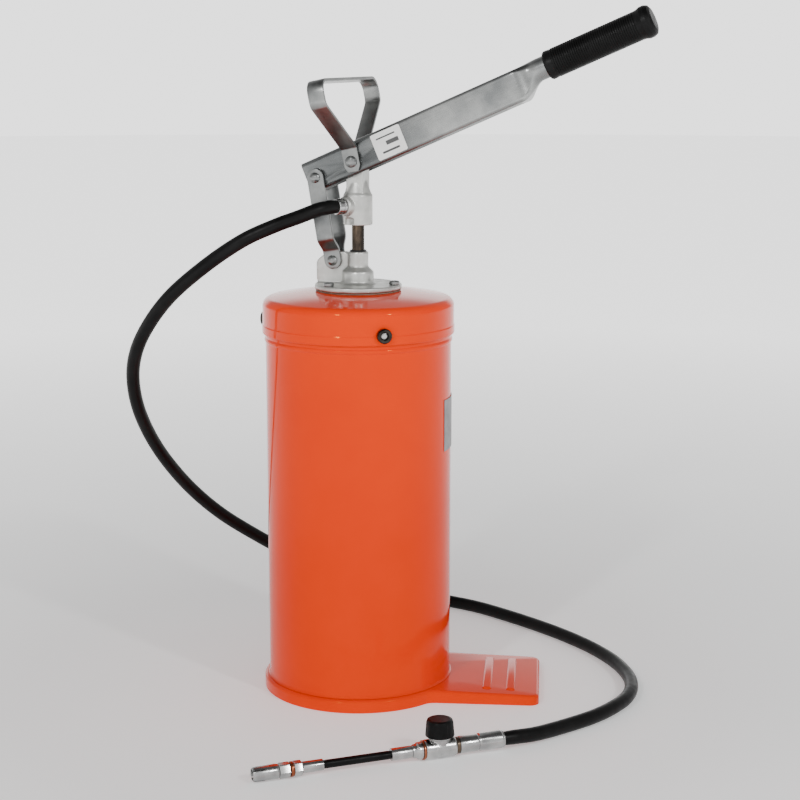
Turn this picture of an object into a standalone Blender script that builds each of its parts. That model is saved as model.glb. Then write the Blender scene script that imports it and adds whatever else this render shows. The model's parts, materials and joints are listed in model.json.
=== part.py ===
"""Hand lever gear oil pump: an oil drum on a foot plate, a pump hanging in it from the lid, a lever that
works the piston through a link, a carrying handle, and an outlet hose with a shut-off valve and a nozzle.

Run with: blender --background --python part.py
The model is in metres, +Z up. Its origin is on the drum's axis, on the floor. The lever lies in the XZ
plane and points to +X.
"""

import math

import bmesh
import bpy
from mathutils import Matrix, Vector

MM = 0.001
GAP = 0.3 * MM

# Driving dimensions ---------------------------------------------------------------------------------------
DRUM_RADIUS = 90 * MM
DRUM_WALL = 1.5 * MM
DRUM_TOP = 384.6 * MM
BEAD_HEIGHT = 349 * MM
PLATE_HEIGHT = 12.5 * MM
PLATE_RADIUS = 95 * MM
PLATE_SHEET = 2 * MM
TAB_REACH = 180 * MM
TAB_HALF_WIDTH = 60 * MM
TAB_ANGLE = 14
TAB_FALL = 0.035

LID_RADIUS = 92.7 * MM
LID_SHEET = 1.3 * MM
LID_RIM = 355 * MM
LID_SHOULDER = 381.5 * MM
LID_TOP = 395.5 * MM
LID_SCREW_HEIGHT = 364.5 * MM
LID_SCREW_ANGLES = (-56, 64, 184)

FLANGE_TOP = 402 * MM
FLANGE_THICKNESS = 5 * MM
FLANGE_RADIUS = 42 * MM
FLANGE_SCREW_CIRCLE = 36.7 * MM
FLANGE_SCREW_ANGLES = (0, 120, 240)
BOSS_TOP = 433 * MM
ROD_RADIUS = 6 * MM
BARREL_RADIUS = 17 * MM

HEAD_BOTTOM = 458.6 * MM
LEVER_PIVOT_HEIGHT = 519.5 * MM
LEVER_ANGLE = 23.3
LEVER_HALF_WIDTH = 15 * MM
LEVER_SHEET = 2.5 * MM
LEVER_TOP = 17.6 * MM
LEVER_BOTTOM = -13 * MM
LINK_ARM = 40 * MM
LUG_PIN = Vector((-23.5 * MM, 0, 424 * MM))
LINK_SHEET = 3 * MM
LINK_HALF_WIDTH = 8.25 * MM
PIN_RADIUS = 3 * MM
HANDLE_LEAN = 11.4
PORT_ANGLE = 238
PORT_HEIGHT = 477 * MM

HOSE_RADIUS = 6.75 * MM
LINE_START = Vector((185.5, -131.5, 10)) * MM
LINE_END = Vector((0.5, -276.0, 7.4)) * MM

# Points of the outlet hose's centre line, from the pump head to the ferrule of the shut-off valve, in mm.
HOSE_ROUTE = [
    (-14.41, -23.07, 477), (-18.55, -29.68, 477), (-26.5, -40, 475), (-42, -51, 468.5), (-61, -61, 461),
    (-90, -71, 447), (-127, -76, 422), (-167, -72, 390), (-199, -60, 355), (-219, -46, 323),
    (-229, -29, 290), (-232, -6, 254), (-227, 23, 214), (-213, 56, 173), (-192, 87, 138),
    (-165, 118, 108), (-135, 152, 79), (-103, 188, 52), (-69, 222, 30), (-31, 249, 14),
    (9, 260, 8), (48, 252, 7), (87, 233, 7), (126, 210.5, 7), (165, 184.5, 7), (202, 154, 7),
    (233, 120, 7), (255, 84, 7), (266, 52, 7), (268.5, 20, 7), (262, -12, 7), (249, -44, 7),
    (229, -77, 7.2), (210, -106.5, 8.4), (193.4, -125.3, 10), (185.5, -131.5, 10),
]


def clear_scene():
    for old in list(bpy.data.objects):
        bpy.data.objects.remove(old, do_unlink=True)


clear_scene()
PARTS = bpy.data.collections.new("gear_oil_pump")
CUTTERS = bpy.data.collections.new("cutters")
bpy.context.scene.collection.children.link(PARTS)
bpy.context.scene.collection.children.link(CUTTERS)


def finish(name, colour, roughness, metallic=0.0):
    mat = bpy.data.materials.new(name)
    mat.use_nodes = True
    shader = mat.node_tree.nodes["Principled BSDF"]
    shader.inputs["Base Color"].default_value = (*colour, 1)
    shader.inputs["Roughness"].default_value = roughness
    shader.inputs["Metallic"].default_value = metallic
    mat.diffuse_color = (*colour, 1)
    return mat


ORANGE = finish("orange_paint", (0.86, 0.13, 0.012), 0.25)
ZINC = finish("zinc_plate", (0.60, 0.62, 0.62), 0.35, 1)
CASTING = finish("cast_alloy", (0.68, 0.68, 0.66), 0.55, 1)
STEEL = finish("dark_steel", (0.16, 0.14, 0.12), 0.4, 1)
BRASS = finish("brass", (0.70, 0.50, 0.22), 0.35, 1)
COPPER = finish("copper", (0.60, 0.24, 0.12), 0.4, 1)
RUBBER = finish("black_rubber", (0.018, 0.018, 0.02), 0.55)
PLASTIC = finish("black_plastic", (0.015, 0.015, 0.016), 0.3)
NITRILE = finish("seal_rubber", (0.03, 0.03, 0.03), 0.6)
PAPER = finish("white_label", (0.85, 0.85, 0.83), 0.6)
FOIL = finish("label_foil", (0.45, 0.46, 0.47), 0.4, 0.5)
FIBRE = finish("gasket_fibre", (0.30, 0.26, 0.20), 0.8)


def place(obj, mat, frame=None, cutter=False):
    """Puts an object in its collection, with its material and its parent frame."""
    (CUTTERS if cutter else PARTS).objects.link(obj)
    if mat:
        obj.data.materials.append(mat)
    if cutter:
        obj.hide_render = True
        obj.display_type = "WIRE"
    if frame:
        obj.parent = frame
    return obj


def frame_at(name, location, rotation=(0, 0, 0), parent=None):
    """An empty whose origin is a joint's axis or the start of a line of fittings."""
    empty = bpy.data.objects.new(name, None)
    PARTS.objects.link(empty)
    empty.location = location
    empty.rotation_euler = [math.radians(angle) for angle in rotation]
    empty.parent = parent
    return empty


def along(start, direction):
    """The matrix that puts local Z along a direction, starting from a point."""
    turn = Vector((0, 0, 1)).rotation_difference(Vector(direction)).to_matrix().to_4x4()
    return Matrix.Translation(Vector(start)) @ turn


def polar(radius, degrees, height=0.0):
    angle = math.radians(degrees)
    return Vector((radius * math.cos(angle), radius * math.sin(angle), height))


def in_mm(profile):
    """A profile that is written in mm, in metres."""
    return [(radius * MM, height * MM) for radius, height in profile]


def arc(centre_x, centre_y, radius, start, end, steps):
    """Points of an arc in a plane, angles in degrees."""
    turns = [math.radians(start + (end - start) * i / steps) for i in range(steps + 1)]
    return [(centre_x + radius * math.cos(a), centre_y + radius * math.sin(a)) for a in turns]


def turned(name, profile, mat, steps=18, start=(0, 0, 0), axis=(0, 0, 1), frame=None, cutter=False):
    """Turns a profile of (radius, height) about an axis. It runs down its outer side.

    A profile that leaves the axis out is closed into a ring."""
    mesh = bpy.data.meshes.new(name)
    edges = [(i, i + 1) for i in range(len(profile) - 1)]
    if profile[0][0] > 0 or profile[-1][0] > 0:
        edges.append((len(profile) - 1, 0))
    mesh.from_pydata([(radius, 0, height) for radius, height in profile], edges, [])
    obj = bpy.data.objects.new(name, mesh)
    obj.matrix_local = along(start, axis)
    screw = obj.modifiers.new("turn", "SCREW")
    screw.steps = screw.render_steps = steps
    screw.use_merge_vertices = True
    screw.merge_threshold = 0.00001
    return place(obj, mat, frame, cutter)


def rod(name, radius, length, mat, steps=16, start=(0, 0, 0), axis=(0, 0, 1), frame=None, cutter=False):
    """A plain cylinder from a point along an axis."""
    shape = bmesh.new()
    bmesh.ops.create_cone(
        shape, cap_ends=True, segments=steps, radius1=radius, radius2=radius, depth=length,
        matrix=Matrix.Translation((0, 0, length / 2)),
    )
    mesh = bpy.data.meshes.new(name)
    shape.to_mesh(mesh)
    shape.free()
    obj = bpy.data.objects.new(name, mesh)
    obj.matrix_local = along(start, axis)
    return place(obj, mat, frame, cutter)


def block(name, size, centre, mat, turn=0, frame=None, cutter=False, rounding=0.0):
    """A box, turned about Z, with its edges rounded by a Bevel."""
    shape = bmesh.new()
    bmesh.ops.create_cube(shape, size=1)
    bmesh.ops.scale(shape, vec=size, verts=shape.verts)
    mesh = bpy.data.meshes.new(name)
    shape.to_mesh(mesh)
    shape.free()
    obj = bpy.data.objects.new(name, mesh)
    obj.location = centre
    obj.rotation_euler.z = math.radians(turn)
    if rounding:
        bevel = obj.modifiers.new("rounding", "BEVEL")
        bevel.width = rounding
        bevel.segments = 2
    return place(obj, mat, frame, cutter)


def flat_plate(name, outline, thickness, mat, location, upright=False, frame=None, cutter=False):
    """A flat outline of given thickness, centred on its plane: XY, or XZ when upright."""
    curve = bpy.data.curves.new(name, "CURVE")
    curve.dimensions = "2D"
    curve.fill_mode = "BOTH"
    curve.extrude = thickness / 2
    spline = curve.splines.new("POLY")
    spline.points.add(len(outline) - 1)
    for point, (x, y) in zip(spline.points, outline):
        point.co = (x, y, 0, 1)
    spline.use_cyclic_u = True
    sketch = bpy.data.objects.new(name + "_sketch", curve)
    bpy.context.scene.collection.objects.link(sketch)
    graph = bpy.context.evaluated_depsgraph_get()
    mesh = bpy.data.meshes.new_from_object(sketch.evaluated_get(graph))
    bpy.data.objects.remove(sketch, do_unlink=True)
    shape = bmesh.new()
    shape.from_mesh(mesh)
    bmesh.ops.remove_doubles(shape, verts=shape.verts, dist=0.00001)
    bmesh.ops.recalc_face_normals(shape, faces=shape.faces)
    shape.to_mesh(mesh)
    shape.free()
    obj = bpy.data.objects.new(name, mesh)
    obj.location = location
    if upright:
        obj.rotation_euler.x = math.radians(90)
    return place(obj, mat, frame, cutter)


def lofted(name, sections, mat, frame=None, cutter=False):
    """A closed body through sections that hold the same number of points."""
    shape = bmesh.new()
    rings = [[shape.verts.new(point) for point in section] for section in sections]
    count = len(sections[0])
    for near, far in zip(rings, rings[1:]):
        for i in range(count):
            shape.faces.new((near[i], near[(i + 1) % count], far[(i + 1) % count], far[i]))
    shape.faces.new(reversed(rings[0]))
    shape.faces.new(rings[-1])
    bmesh.ops.recalc_face_normals(shape, faces=shape.faces)
    mesh = bpy.data.meshes.new(name)
    shape.to_mesh(mesh)
    shape.free()
    return place(bpy.data.objects.new(name, mesh), mat, frame, cutter)


def strip(name, stations, thickness, mat, frame=None):
    """A bent flat strip. A station is its centre and its half width along local X."""
    shape = bmesh.new()
    rows = []
    for centre, half_width in stations:
        sides = (Vector((-half_width, 0, 0)), Vector((half_width, 0, 0)))
        rows.append([shape.verts.new(Vector(centre) + side) for side in sides])
    for near, far in zip(rows, rows[1:]):
        shape.faces.new((near[0], near[1], far[1], far[0]))
    mesh = bpy.data.meshes.new(name)
    shape.to_mesh(mesh)
    shape.free()
    obj = bpy.data.objects.new(name, mesh)
    sheet = obj.modifiers.new("sheet", "SOLIDIFY")
    sheet.thickness = thickness
    sheet.offset = 0
    sheet.use_even_offset = True
    return place(obj, mat, frame)


def cut(obj, *cutters):
    for cutter in cutters:
        boolean = obj.modifiers.new(cutter.name, "BOOLEAN")
        boolean.operation = "DIFFERENCE"
        boolean.object = cutter


def join(obj, *others):
    """Welds helper shapes to a body, so that they form one solid with it."""
    for other in others:
        boolean = obj.modifiers.new(other.name, "BOOLEAN")
        boolean.operation = "UNION"
        boolean.object = other


def smooth_route(points, spacing):
    """Evenly spaced points on a Catmull-Rom curve through the route's own points."""
    ends = [points[0] * 2 - points[1]] + points + [points[-1] * 2 - points[-2]]
    fine = []
    for a, b, c, d in zip(ends, ends[1:], ends[2:], ends[3:]):
        for i in range(12):
            t = i / 12
            bend = (2 * a - 5 * b + 4 * c - d) * t**2 + (3 * b - a - 3 * c + d) * t**3
            fine.append(0.5 * (2 * b + (c - a) * t + bend))
    fine.append(points[-1])
    lengths = [0.0]
    for near, far in zip(fine, fine[1:]):
        lengths.append(lengths[-1] + (far - near).length)
    count = max(2, round(lengths[-1] / spacing))
    even = []
    for i in range(count + 1):
        goal = lengths[-1] * i / count
        k = next(k for k in range(len(lengths) - 1) if lengths[k + 1] >= goal - 1e-9)
        share = (goal - lengths[k]) / (lengths[k + 1] - lengths[k])
        even.append(fine[k].lerp(fine[k + 1], share))
    return even


def hose(name, points, radius, mat, frame=None):
    """A flexible tube with flat ends along a list of points."""
    curve = bpy.data.curves.new(name, "CURVE")
    curve.dimensions = "3D"
    curve.bevel_depth = radius
    curve.bevel_resolution = 2
    curve.use_fill_caps = True
    spline = curve.splines.new("POLY")
    spline.points.add(len(points) - 1)
    for point, place_at in zip(spline.points, points):
        point.co = (*place_at, 1)
    return place(bpy.data.objects.new(name, curve), mat, frame)


# Frames of the moving bodies ------------------------------------------------------------------------------
LEVER_PIVOT = Vector((0, 0, LEVER_PIVOT_HEIGHT))
lever_frame = frame_at("lever_frame", LEVER_PIVOT, (0, -LEVER_ANGLE, 0))
handle_frame = frame_at("carry_handle_frame", LEVER_PIVOT, (0, -HANDLE_LEAN, 0))
LINK_PIN = LEVER_PIVOT - LINK_ARM * Vector(
    (math.cos(math.radians(LEVER_ANGLE)), 0, math.sin(math.radians(LEVER_ANGLE)))
)
LINK_LENGTH = (LINK_PIN - LUG_PIN).length
LINK_ANGLE = math.degrees(math.atan2(LUG_PIN.x - LINK_PIN.x, LINK_PIN.z - LUG_PIN.z))
link_frame = frame_at("link_frame", LUG_PIN, (0, -LINK_ANGLE, 0))

# Frame of the fittings that lie on the floor: its X runs from the shut-off valve to the nozzle.
LINE = LINE_END - LINE_START
LINE_TURN = math.degrees(math.atan2(LINE.y, LINE.x))
LINE_FALL = math.degrees(math.atan2(-LINE.z, math.hypot(LINE.x, LINE.y)))
line_frame = frame_at("outlet_line_frame", LINE_START, (0, LINE_FALL, LINE_TURN))


# Foot plate -----------------------------------------------------------------------------------------------
def plate_outline(inset):
    """Outline of the foot plate: a disc with a tab to stand on, moved inwards by inset."""
    disc = PLATE_RADIUS - inset
    reach, half = TAB_REACH - inset, TAB_HALF_WIDTH - inset
    corner, fillet = 9 * MM - inset, 14 * MM + inset
    centre_y = half + fillet
    centre_x = math.sqrt((disc + fillet) ** 2 - centre_y**2)
    meet = math.degrees(math.atan2(centre_y, centre_x))
    points = arc(centre_x, -centre_y, fillet, 180 - meet, 90, 3)
    points += arc(reach - corner, -half + corner, corner, -90, 0, 3)
    points += arc(reach - corner, half - corner, corner, 0, 90, 3)
    points += arc(centre_x, centre_y, fillet, 270, 180 + meet, 3)
    points += arc(0, 0, disc, meet, 360 - meet, 38)[1:-1]
    return points


def make_foot_plate():
    def ring(inset, height):
        return [
            (x, y, height - TAB_FALL * max(0.0, x - PLATE_RADIUS) * (height > PLATE_HEIGHT / 2))
            for x, y in plate_outline(inset)
        ]

    def circle(radius, height):
        return [(*(Vector(point).normalized() * radius), height) for point in plate_outline(0)]

    rounding = 3.5 * MM
    skirt = [ring(0, 0), ring(0, PLATE_HEIGHT - rounding)]
    for turn in (45, 90):
        angle = math.radians(turn)
        inset = rounding * (1 - math.cos(angle))
        skirt.append(ring(inset, PLATE_HEIGHT - rounding * (1 - math.sin(angle))))
    dish = [circle(86 * MM, PLATE_HEIGHT), circle(60 * MM, PLATE_HEIGHT), circle(52 * MM, PLATE_SHEET)]
    rows = skirt + dish
    shape = bmesh.new()
    rings = [[shape.verts.new(point) for point in row] for row in rows]
    count = len(rows[0])
    for low, high in zip(rings, rings[1:]):
        for i in range(count):
            shape.faces.new((low[i], low[(i + 1) % count], high[(i + 1) % count], high[i]))
    shape.faces.new(rings[-1])
    mesh = bpy.data.meshes.new("base_plate")
    shape.to_mesh(mesh)
    shape.free()
    plate = bpy.data.objects.new("base_plate", mesh)
    plate.rotation_euler.z = math.radians(TAB_ANGLE)
    sheet = plate.modifiers.new("sheet", "SOLIDIFY")
    sheet.thickness = PLATE_SHEET
    sheet.offset = -1
    sheet.use_even_offset = True
    place(plate, ORANGE)
    for number, reach in enumerate((129 * MM, 152 * MM)):
        height = PLATE_HEIGHT - TAB_FALL * (reach - PLATE_RADIUS)
        rib = block(
            f"tread_rib_{number}", (9 * MM, 92 * MM, 4 * MM), polar(reach, TAB_ANGLE, height - 0.5 * MM),
            ORANGE, TAB_ANGLE, cutter=True, rounding=1.2 * MM,
        )
        join(plate, rib)


# Drum and lid ---------------------------------------------------------------------------------------------
def make_drum():
    inner, floor = DRUM_RADIUS - DRUM_WALL, PLATE_HEIGHT + GAP
    bead = arc(DRUM_RADIUS - 1.8 * MM, BEAD_HEIGHT, 3 * MM, 53, -53, 4)
    profile = [(0, floor + DRUM_WALL), (inner - 3 * MM, floor + DRUM_WALL), (inner, floor + 4.5 * MM)]
    profile += [(inner, DRUM_TOP), (DRUM_RADIUS, DRUM_TOP)] + bead
    profile += [(DRUM_RADIUS, floor + 4 * MM)]
    profile += [(DRUM_RADIUS - 1.2 * MM, floor + 1.2 * MM), (DRUM_RADIUS - 4 * MM, floor), (0, floor)]
    drum = turned("drum_shell", profile, ORANGE, 52)
    for number, angle in enumerate(LID_SCREW_ANGLES):
        cut(drum, rod(
            f"drum_screw_hole_{number}", 3.4 * MM, 20 * MM, None,
            start=polar(80 * MM, angle, LID_SCREW_HEIGHT), axis=polar(1, angle), cutter=True,
        ))
    angles = [-5 + 4 * i for i in range(13)]
    rings = []
    for angle in angles:
        corners = [(90.35, 243.6), (90.75, 243.6), (90.75, 293.7), (90.35, 293.7)]
        rings.append([polar(radius * MM, angle, height * MM) for radius, height in corners])
    lofted("drum_label", rings, FOIL)


def make_lid():
    shoulder = 8 * MM
    centre = LID_RADIUS - shoulder

    def surface(inset, steps):
        edge = arc(centre, LID_SHOULDER, shoulder - inset, 81, 0, steps)
        return [(20.5 * MM, LID_TOP - inset), (46 * MM, LID_TOP - inset)] + edge

    outer = surface(0, 4) + [(LID_RADIUS, LID_RIM + 0.6 * MM), (LID_RADIUS - 0.6 * MM, LID_RIM)]
    inner = [(LID_RADIUS - LID_SHEET, LID_RIM)] + surface(LID_SHEET, 2)[::-1]
    lid = turned("lid", outer + inner, ORANGE, 52)
    for number, angle in enumerate(LID_SCREW_ANGLES):
        outward = polar(1, angle)
        cut(lid, rod(
            f"lid_screw_hole_{number}", 3.4 * MM, 20 * MM, None,
            start=polar(82 * MM, angle, LID_SCREW_HEIGHT), axis=outward, cutter=True,
        ))
    for number, angle in enumerate(FLANGE_SCREW_ANGLES):
        cut(lid, rod(
            f"lid_flange_hole_{number}", 3 * MM, 20 * MM, None,
            start=polar(FLANGE_SCREW_CIRCLE, angle, 385 * MM), cutter=True,
        ))


def screws(name, places, shank, head, sink, socket, mat):
    """Socket head screws. A place is the point under the head and the way the head points."""
    (shank_radius, shank_length), (head_radius, head_height) = shank, head
    profile = [(0, head_height - sink), (socket, head_height - sink), (socket, head_height)]
    profile += [(head_radius - 1 * MM, head_height), (head_radius, head_height - 1 * MM), (head_radius, 0)]
    profile += [(shank_radius, 0), (shank_radius, -shank_length), (0, -shank_length)]
    for number, (point, direction) in enumerate(places, 1):
        turned(f"{name}_{number}", profile, mat, 12, point, direction)


def make_lid_fasteners():
    nut = [(6.5 * MM, 4.5 * MM), (6.5 * MM, 0), (3.7 * MM, 0), (3.7 * MM, 4.5 * MM)]
    seats = []
    for number, angle in enumerate(LID_SCREW_ANGLES, 1):
        outward = polar(1, angle)
        seats.append((polar(LID_RADIUS + 0.4 * MM, angle, LID_SCREW_HEIGHT), outward))
        turned(f"lid_nut_{number}", nut, ZINC, 6, polar(83.2 * MM, angle, LID_SCREW_HEIGHT), outward)
    screws("lid_screw", seats, (2.9 * MM, 14 * MM), (7 * MM, 5 * MM), 2.5 * MM, 3.4 * MM, ZINC)


# Pump body, fixed to the lid ------------------------------------------------------------------------------
def make_pump_flange():
    base = FLANGE_TOP - FLANGE_THICKNESS
    outer = [(9.8 * MM, BOSS_TOP), (9.8 * MM, 418 * MM)]
    outer += [(14.6 * MM, 414 * MM), (15 * MM, 412.5 * MM), (15 * MM, FLANGE_TOP + 1.5 * MM)]
    outer += [(16.5 * MM, FLANGE_TOP), (FLANGE_RADIUS - 1 * MM, FLANGE_TOP)]
    outer += [(FLANGE_RADIUS, FLANGE_TOP - 1 * MM), (FLANGE_RADIUS, base + 0.4 * MM)]
    outer += [(FLANGE_RADIUS - 0.4 * MM, base), (20 * MM, base), (20 * MM, 380 * MM)]
    inner = [(BARREL_RADIUS + GAP, 380 * MM), (BARREL_RADIUS + GAP, 393.3 * MM), (8 * MM, 393.3 * MM)]
    inner += [(8 * MM, BOSS_TOP - 1.2 * MM), (6.5 * MM, BOSS_TOP - 1.2 * MM), (6.5 * MM, BOSS_TOP)]
    flange = turned("pump_flange", outer + inner, CASTING, 36)
    top, left = BOSS_TOP, -42 * MM
    outline = [(left, FLANGE_TOP - 2 * MM), (-9 * MM, FLANGE_TOP - 2 * MM), (-9 * MM, top - 2 * MM)]
    outline += [(-11 * MM, top)] + arc(left + 12 * MM, top - 12 * MM, 12 * MM, 90, 180, 5)
    lug = flat_plate("link_lug", outline, 9 * MM, None, (0, 0, 0), upright=True, cutter=True)
    join(flange, lug)
    across = (0, 1, 0)
    side = Vector((0, 20 * MM, 0))
    cut(flange, rod("lug_bore", PIN_RADIUS + GAP, 40 * MM, None, 12, LUG_PIN - side, across, cutter=True))
    for number, angle in enumerate(FLANGE_SCREW_ANGLES):
        cut(flange, rod(
            f"flange_hole_{number}", 3 * MM, 20 * MM, None,
            start=polar(FLANGE_SCREW_CIRCLE, angle, 392 * MM), cutter=True,
        ))
    high, low = base - GAP, LID_TOP + GAP
    ring = [(20.6 * MM, high), (41 * MM, high), (41 * MM, low), (20.6 * MM, low)]
    gasket = turned("flange_gasket", ring, FIBRE, 36)
    for number, angle in enumerate(FLANGE_SCREW_ANGLES):
        cut(gasket, rod(
            f"gasket_hole_{number}", 3 * MM, 20 * MM, None,
            start=polar(FLANGE_SCREW_CIRCLE, angle, 388 * MM), cutter=True,
        ))
    seats = [(polar(FLANGE_SCREW_CIRCLE, a, FLANGE_TOP + GAP), (0, 0, 1)) for a in FLANGE_SCREW_ANGLES]
    screws("flange_screw", seats, (2.6 * MM, 14 * MM), (5 * MM, 3.5 * MM), 1.6 * MM, 2.4 * MM, STEEL)


def ring_profile(inner, outer, low, high):
    """Profile of a plain ring, in mm."""
    return in_mm([(inner, high), (outer, high), (outer, low), (inner, low)])


def ball(name, radius, height):
    """A valve ball on the pump's axis."""
    shape = bmesh.new()
    bmesh.ops.create_icosphere(shape, subdivisions=2, radius=radius)
    mesh = bpy.data.meshes.new(name)
    shape.to_mesh(mesh)
    shape.free()
    obj = bpy.data.objects.new(name, mesh)
    obj.location = (0, 0, height)
    place(obj, STEEL)


def make_pump_internals():
    turned("rod_bush", ring_profile(6.3, 7.7, 405, 431.4), BRASS)
    turned("rod_seal", ring_profile(6.3, 7.7, 399, 404.6), NITRILE)
    turned("pump_barrel", ring_profile(14.5, 17, 290, 393), STEEL, 24)
    body = [(20, 301), (20, 268), (8.3, 268), (8.3, 281), (3, 281), (3, 283), (6, 286), (6, 289.6)]
    body += [(17.3, 289.6), (17.3, 301)]
    turned("foot_valve_body", in_mm(body), BRASS, 20)
    turned("suction_tube", ring_profile(6.5, 8, 40, 280.6), STEEL)
    ball("foot_valve_ball", 4.5 * MM, 286.75 * MM)
    cup = [(0, 23.5), (11, 23.5), (11.5, 24), (11.5, 38), (8.3, 39.5), (8.3, 48), (13, 48)]
    cup += [(13, 23), (12, 22), (0, 22)]
    strainer = turned("suction_strainer", in_mm(cup), BRASS, 20)
    for number in range(3):
        angle = 60 * number
        size, centre = (40 * MM, 4 * MM, 9 * MM), (0, 0, 30.5 * MM)
        cut(strainer, block(f"strainer_slot_{number}", size, centre, None, angle, cutter=True))


def make_piston():
    tube = [(2.5, 474.5), (6, 474.5), (6, 334.6), (2.5, 334.6)]
    turned("piston_rod", in_mm(tube), STEEL)
    body = [(6.3, 340), (13.9, 340), (13.9, 334.6), (11, 334.6), (11, 328), (13.9, 328), (13.9, 322)]
    body += [(2.4, 322), (2.4, 323.5), (4.6, 325.5), (4.6, 333), (6.3, 334.2)]
    turned("piston", in_mm(body), BRASS, 20)
    turned("piston_seal", ring_profile(11.3, 14.2, 328.3, 334.3), NITRILE, 20)
    ball("discharge_ball", 3.4 * MM, 326.2 * MM)


# Pump head ------------------------------------------------------------------------------------------------
def make_pump_head():
    body = [(0, 492), (11.5, 492), (14, 488), (14, 460), (13, 458.6), (0, 458.6)]
    head = turned("pump_head", in_mm(body), CASTING, 28)
    half = 8.5 * MM
    crown = LEVER_PIVOT_HEIGHT
    outline = [(-half, 489 * MM), (half, 489 * MM)] + arc(0, crown, half, 0, 180, 10)
    ear = flat_plate("head_ear", outline, 19 * MM, None, (0, 0, 0), upright=True, cutter=True)
    outward = polar(1, PORT_ANGLE)
    boss_profile = [(0, 17.5), (8, 17.5), (9.5, 16), (9.5, 0), (0, 0)]
    boss = turned(
        "port_boss", in_mm(boss_profile), None, 24,
        (0, 0, PORT_HEIGHT), outward, cutter=True,
    )
    join(head, ear, boss)
    port_start = polar(5 * MM, PORT_ANGLE, PORT_HEIGHT)
    gallery = rod("port_bore", 4.5 * MM, 20 * MM, None, 16, port_start, outward, cutter=True)
    socket = rod("rod_socket", ROD_RADIUS + GAP, 25 * MM, None, 24, (0, 0, 450 * MM), cutter=True)
    well = rod("head_gallery", 3 * MM, 12 * MM, None, 16, (0, 0, 468 * MM), cutter=True)
    side = Vector((0, 20 * MM, 0))
    bore = rod("head_pin_bore", 4.3 * MM, 40 * MM, None, 12, LEVER_PIVOT - side, (0, 1, 0), cutter=True)
    cut(head, socket, gallery, well, bore)
    ferrule = [(2.6, 26.9), (7.3, 26.9), (7.75, 26.4), (7.75, 21.2), (7.2, 20.8), (7.2, 20), (7.75, 19.6)]
    ferrule += [(7.75, 17.8), (4.2, 17.8), (4.2, 10), (2.6, 10)]
    turned("hose_ferrule_inlet", in_mm(ferrule), ZINC, 20, (0, 0, PORT_HEIGHT), outward)
    pin = [(0, 22.6), (3.5, 22.6), (5.5, 21.2), (5.5, 18.9), (4, 18.9)]
    pin += [(r, -z) for r, z in pin[::-1]]
    turned("head_pivot_pin", in_mm(pin), ZINC, 14, LEVER_PIVOT, (0, -1, 0))


# Lever ----------------------------------------------------------------------------------------------------
TUBE_RADIUS = 10.5 * MM
TUBE_HEIGHT = 9 * MM


def lever_section(u, half_width, top, bottom, corner):
    """A rounded rectangle across the lever at the distance u from its pivot."""
    points = []
    for x, y, start in (
        (half_width - corner, top - corner, 0), (-half_width + corner, top - corner, 90),
        (-half_width + corner, bottom + corner, 180), (half_width - corner, bottom + corner, 270),
    ):
        points += arc(x, y, corner, start, start + 90, 4)
    return [(u, across, height) for across, height in points]


def make_lever():
    full, corner = (LEVER_HALF_WIDTH, LEVER_TOP, LEVER_BOTTOM), 2 * MM
    round_end = (TUBE_RADIUS, TUBE_HEIGHT + TUBE_RADIUS, TUBE_HEIGHT - TUBE_RADIUS)
    sections = [lever_section(-50 * MM, *full, corner), lever_section(166 * MM, *full, corner)]
    neck = ((174, 0.12), (182, 0.42), (189, 0.78), (195, 1.0), (304, 1.0))
    for u, share in neck:
        size = [a + (b - a) * share for a, b in zip(full, round_end)]
        rounding = corner + (TUBE_RADIUS * 0.98 - corner) * share
        sections.append(lever_section(u * MM, *size, rounding))
    lever = lofted("lever_channel", sections, ZINC, lever_frame)
    inner = LEVER_HALF_WIDTH - LEVER_SHEET
    channel_top = LEVER_TOP - LEVER_SHEET
    length = 232 * MM
    hollow = block(
        "channel_hollow", (length, 2 * inner, 60 * MM),
        (172 * MM - length / 2, 0, channel_top - 30 * MM), None, frame=lever_frame, cutter=True,
    )
    side = Vector((0, 20 * MM, 0))
    pivot_hole = rod("lever_pivot_hole", 4.3 * MM, 40 * MM, None, 12, -side, (0, 1, 0), lever_frame, True)
    slot_half, slot_end = 3.2 * MM, 5.2 * MM
    outline = arc(slot_half, 0, slot_end, -90, 90, 6) + arc(-slot_half, 0, slot_end, 90, 270, 6)
    slot_place = (-LINK_ARM, 0, 0)
    slot = flat_plate("link_pin_slot", outline, 40 * MM, None, slot_place, True, lever_frame, True)
    cut(lever, hollow, pivot_hole, slot)
    bore, length = TUBE_RADIUS + GAP, 105.4 * MM
    profile = [(0, length), (11 * MM, length), (14.2 * MM, length - 2 * MM), (15 * MM, length - 5 * MM)]
    profile += [(15 * MM, length - 9 * MM), (13.6 * MM, length - 12 * MM), (13.6 * MM, 3 * MM)]
    profile += [(12.8 * MM, 0)]
    profile += [(bore, 0), (bore, length - 5 * MM), (0, length - 5 * MM)]
    turned("hand_grip", profile, RUBBER, 24, (204.8 * MM, 0, TUBE_HEIGHT), (1, 0, 0), lever_frame)
    sticker_place = (41 * MM, -LEVER_HALF_WIDTH - 0.5 * MM, 2.5 * MM)
    block("inspection_sticker", (31 * MM, 0.3 * MM, 25 * MM), sticker_place, PAPER, frame=lever_frame)


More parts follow.
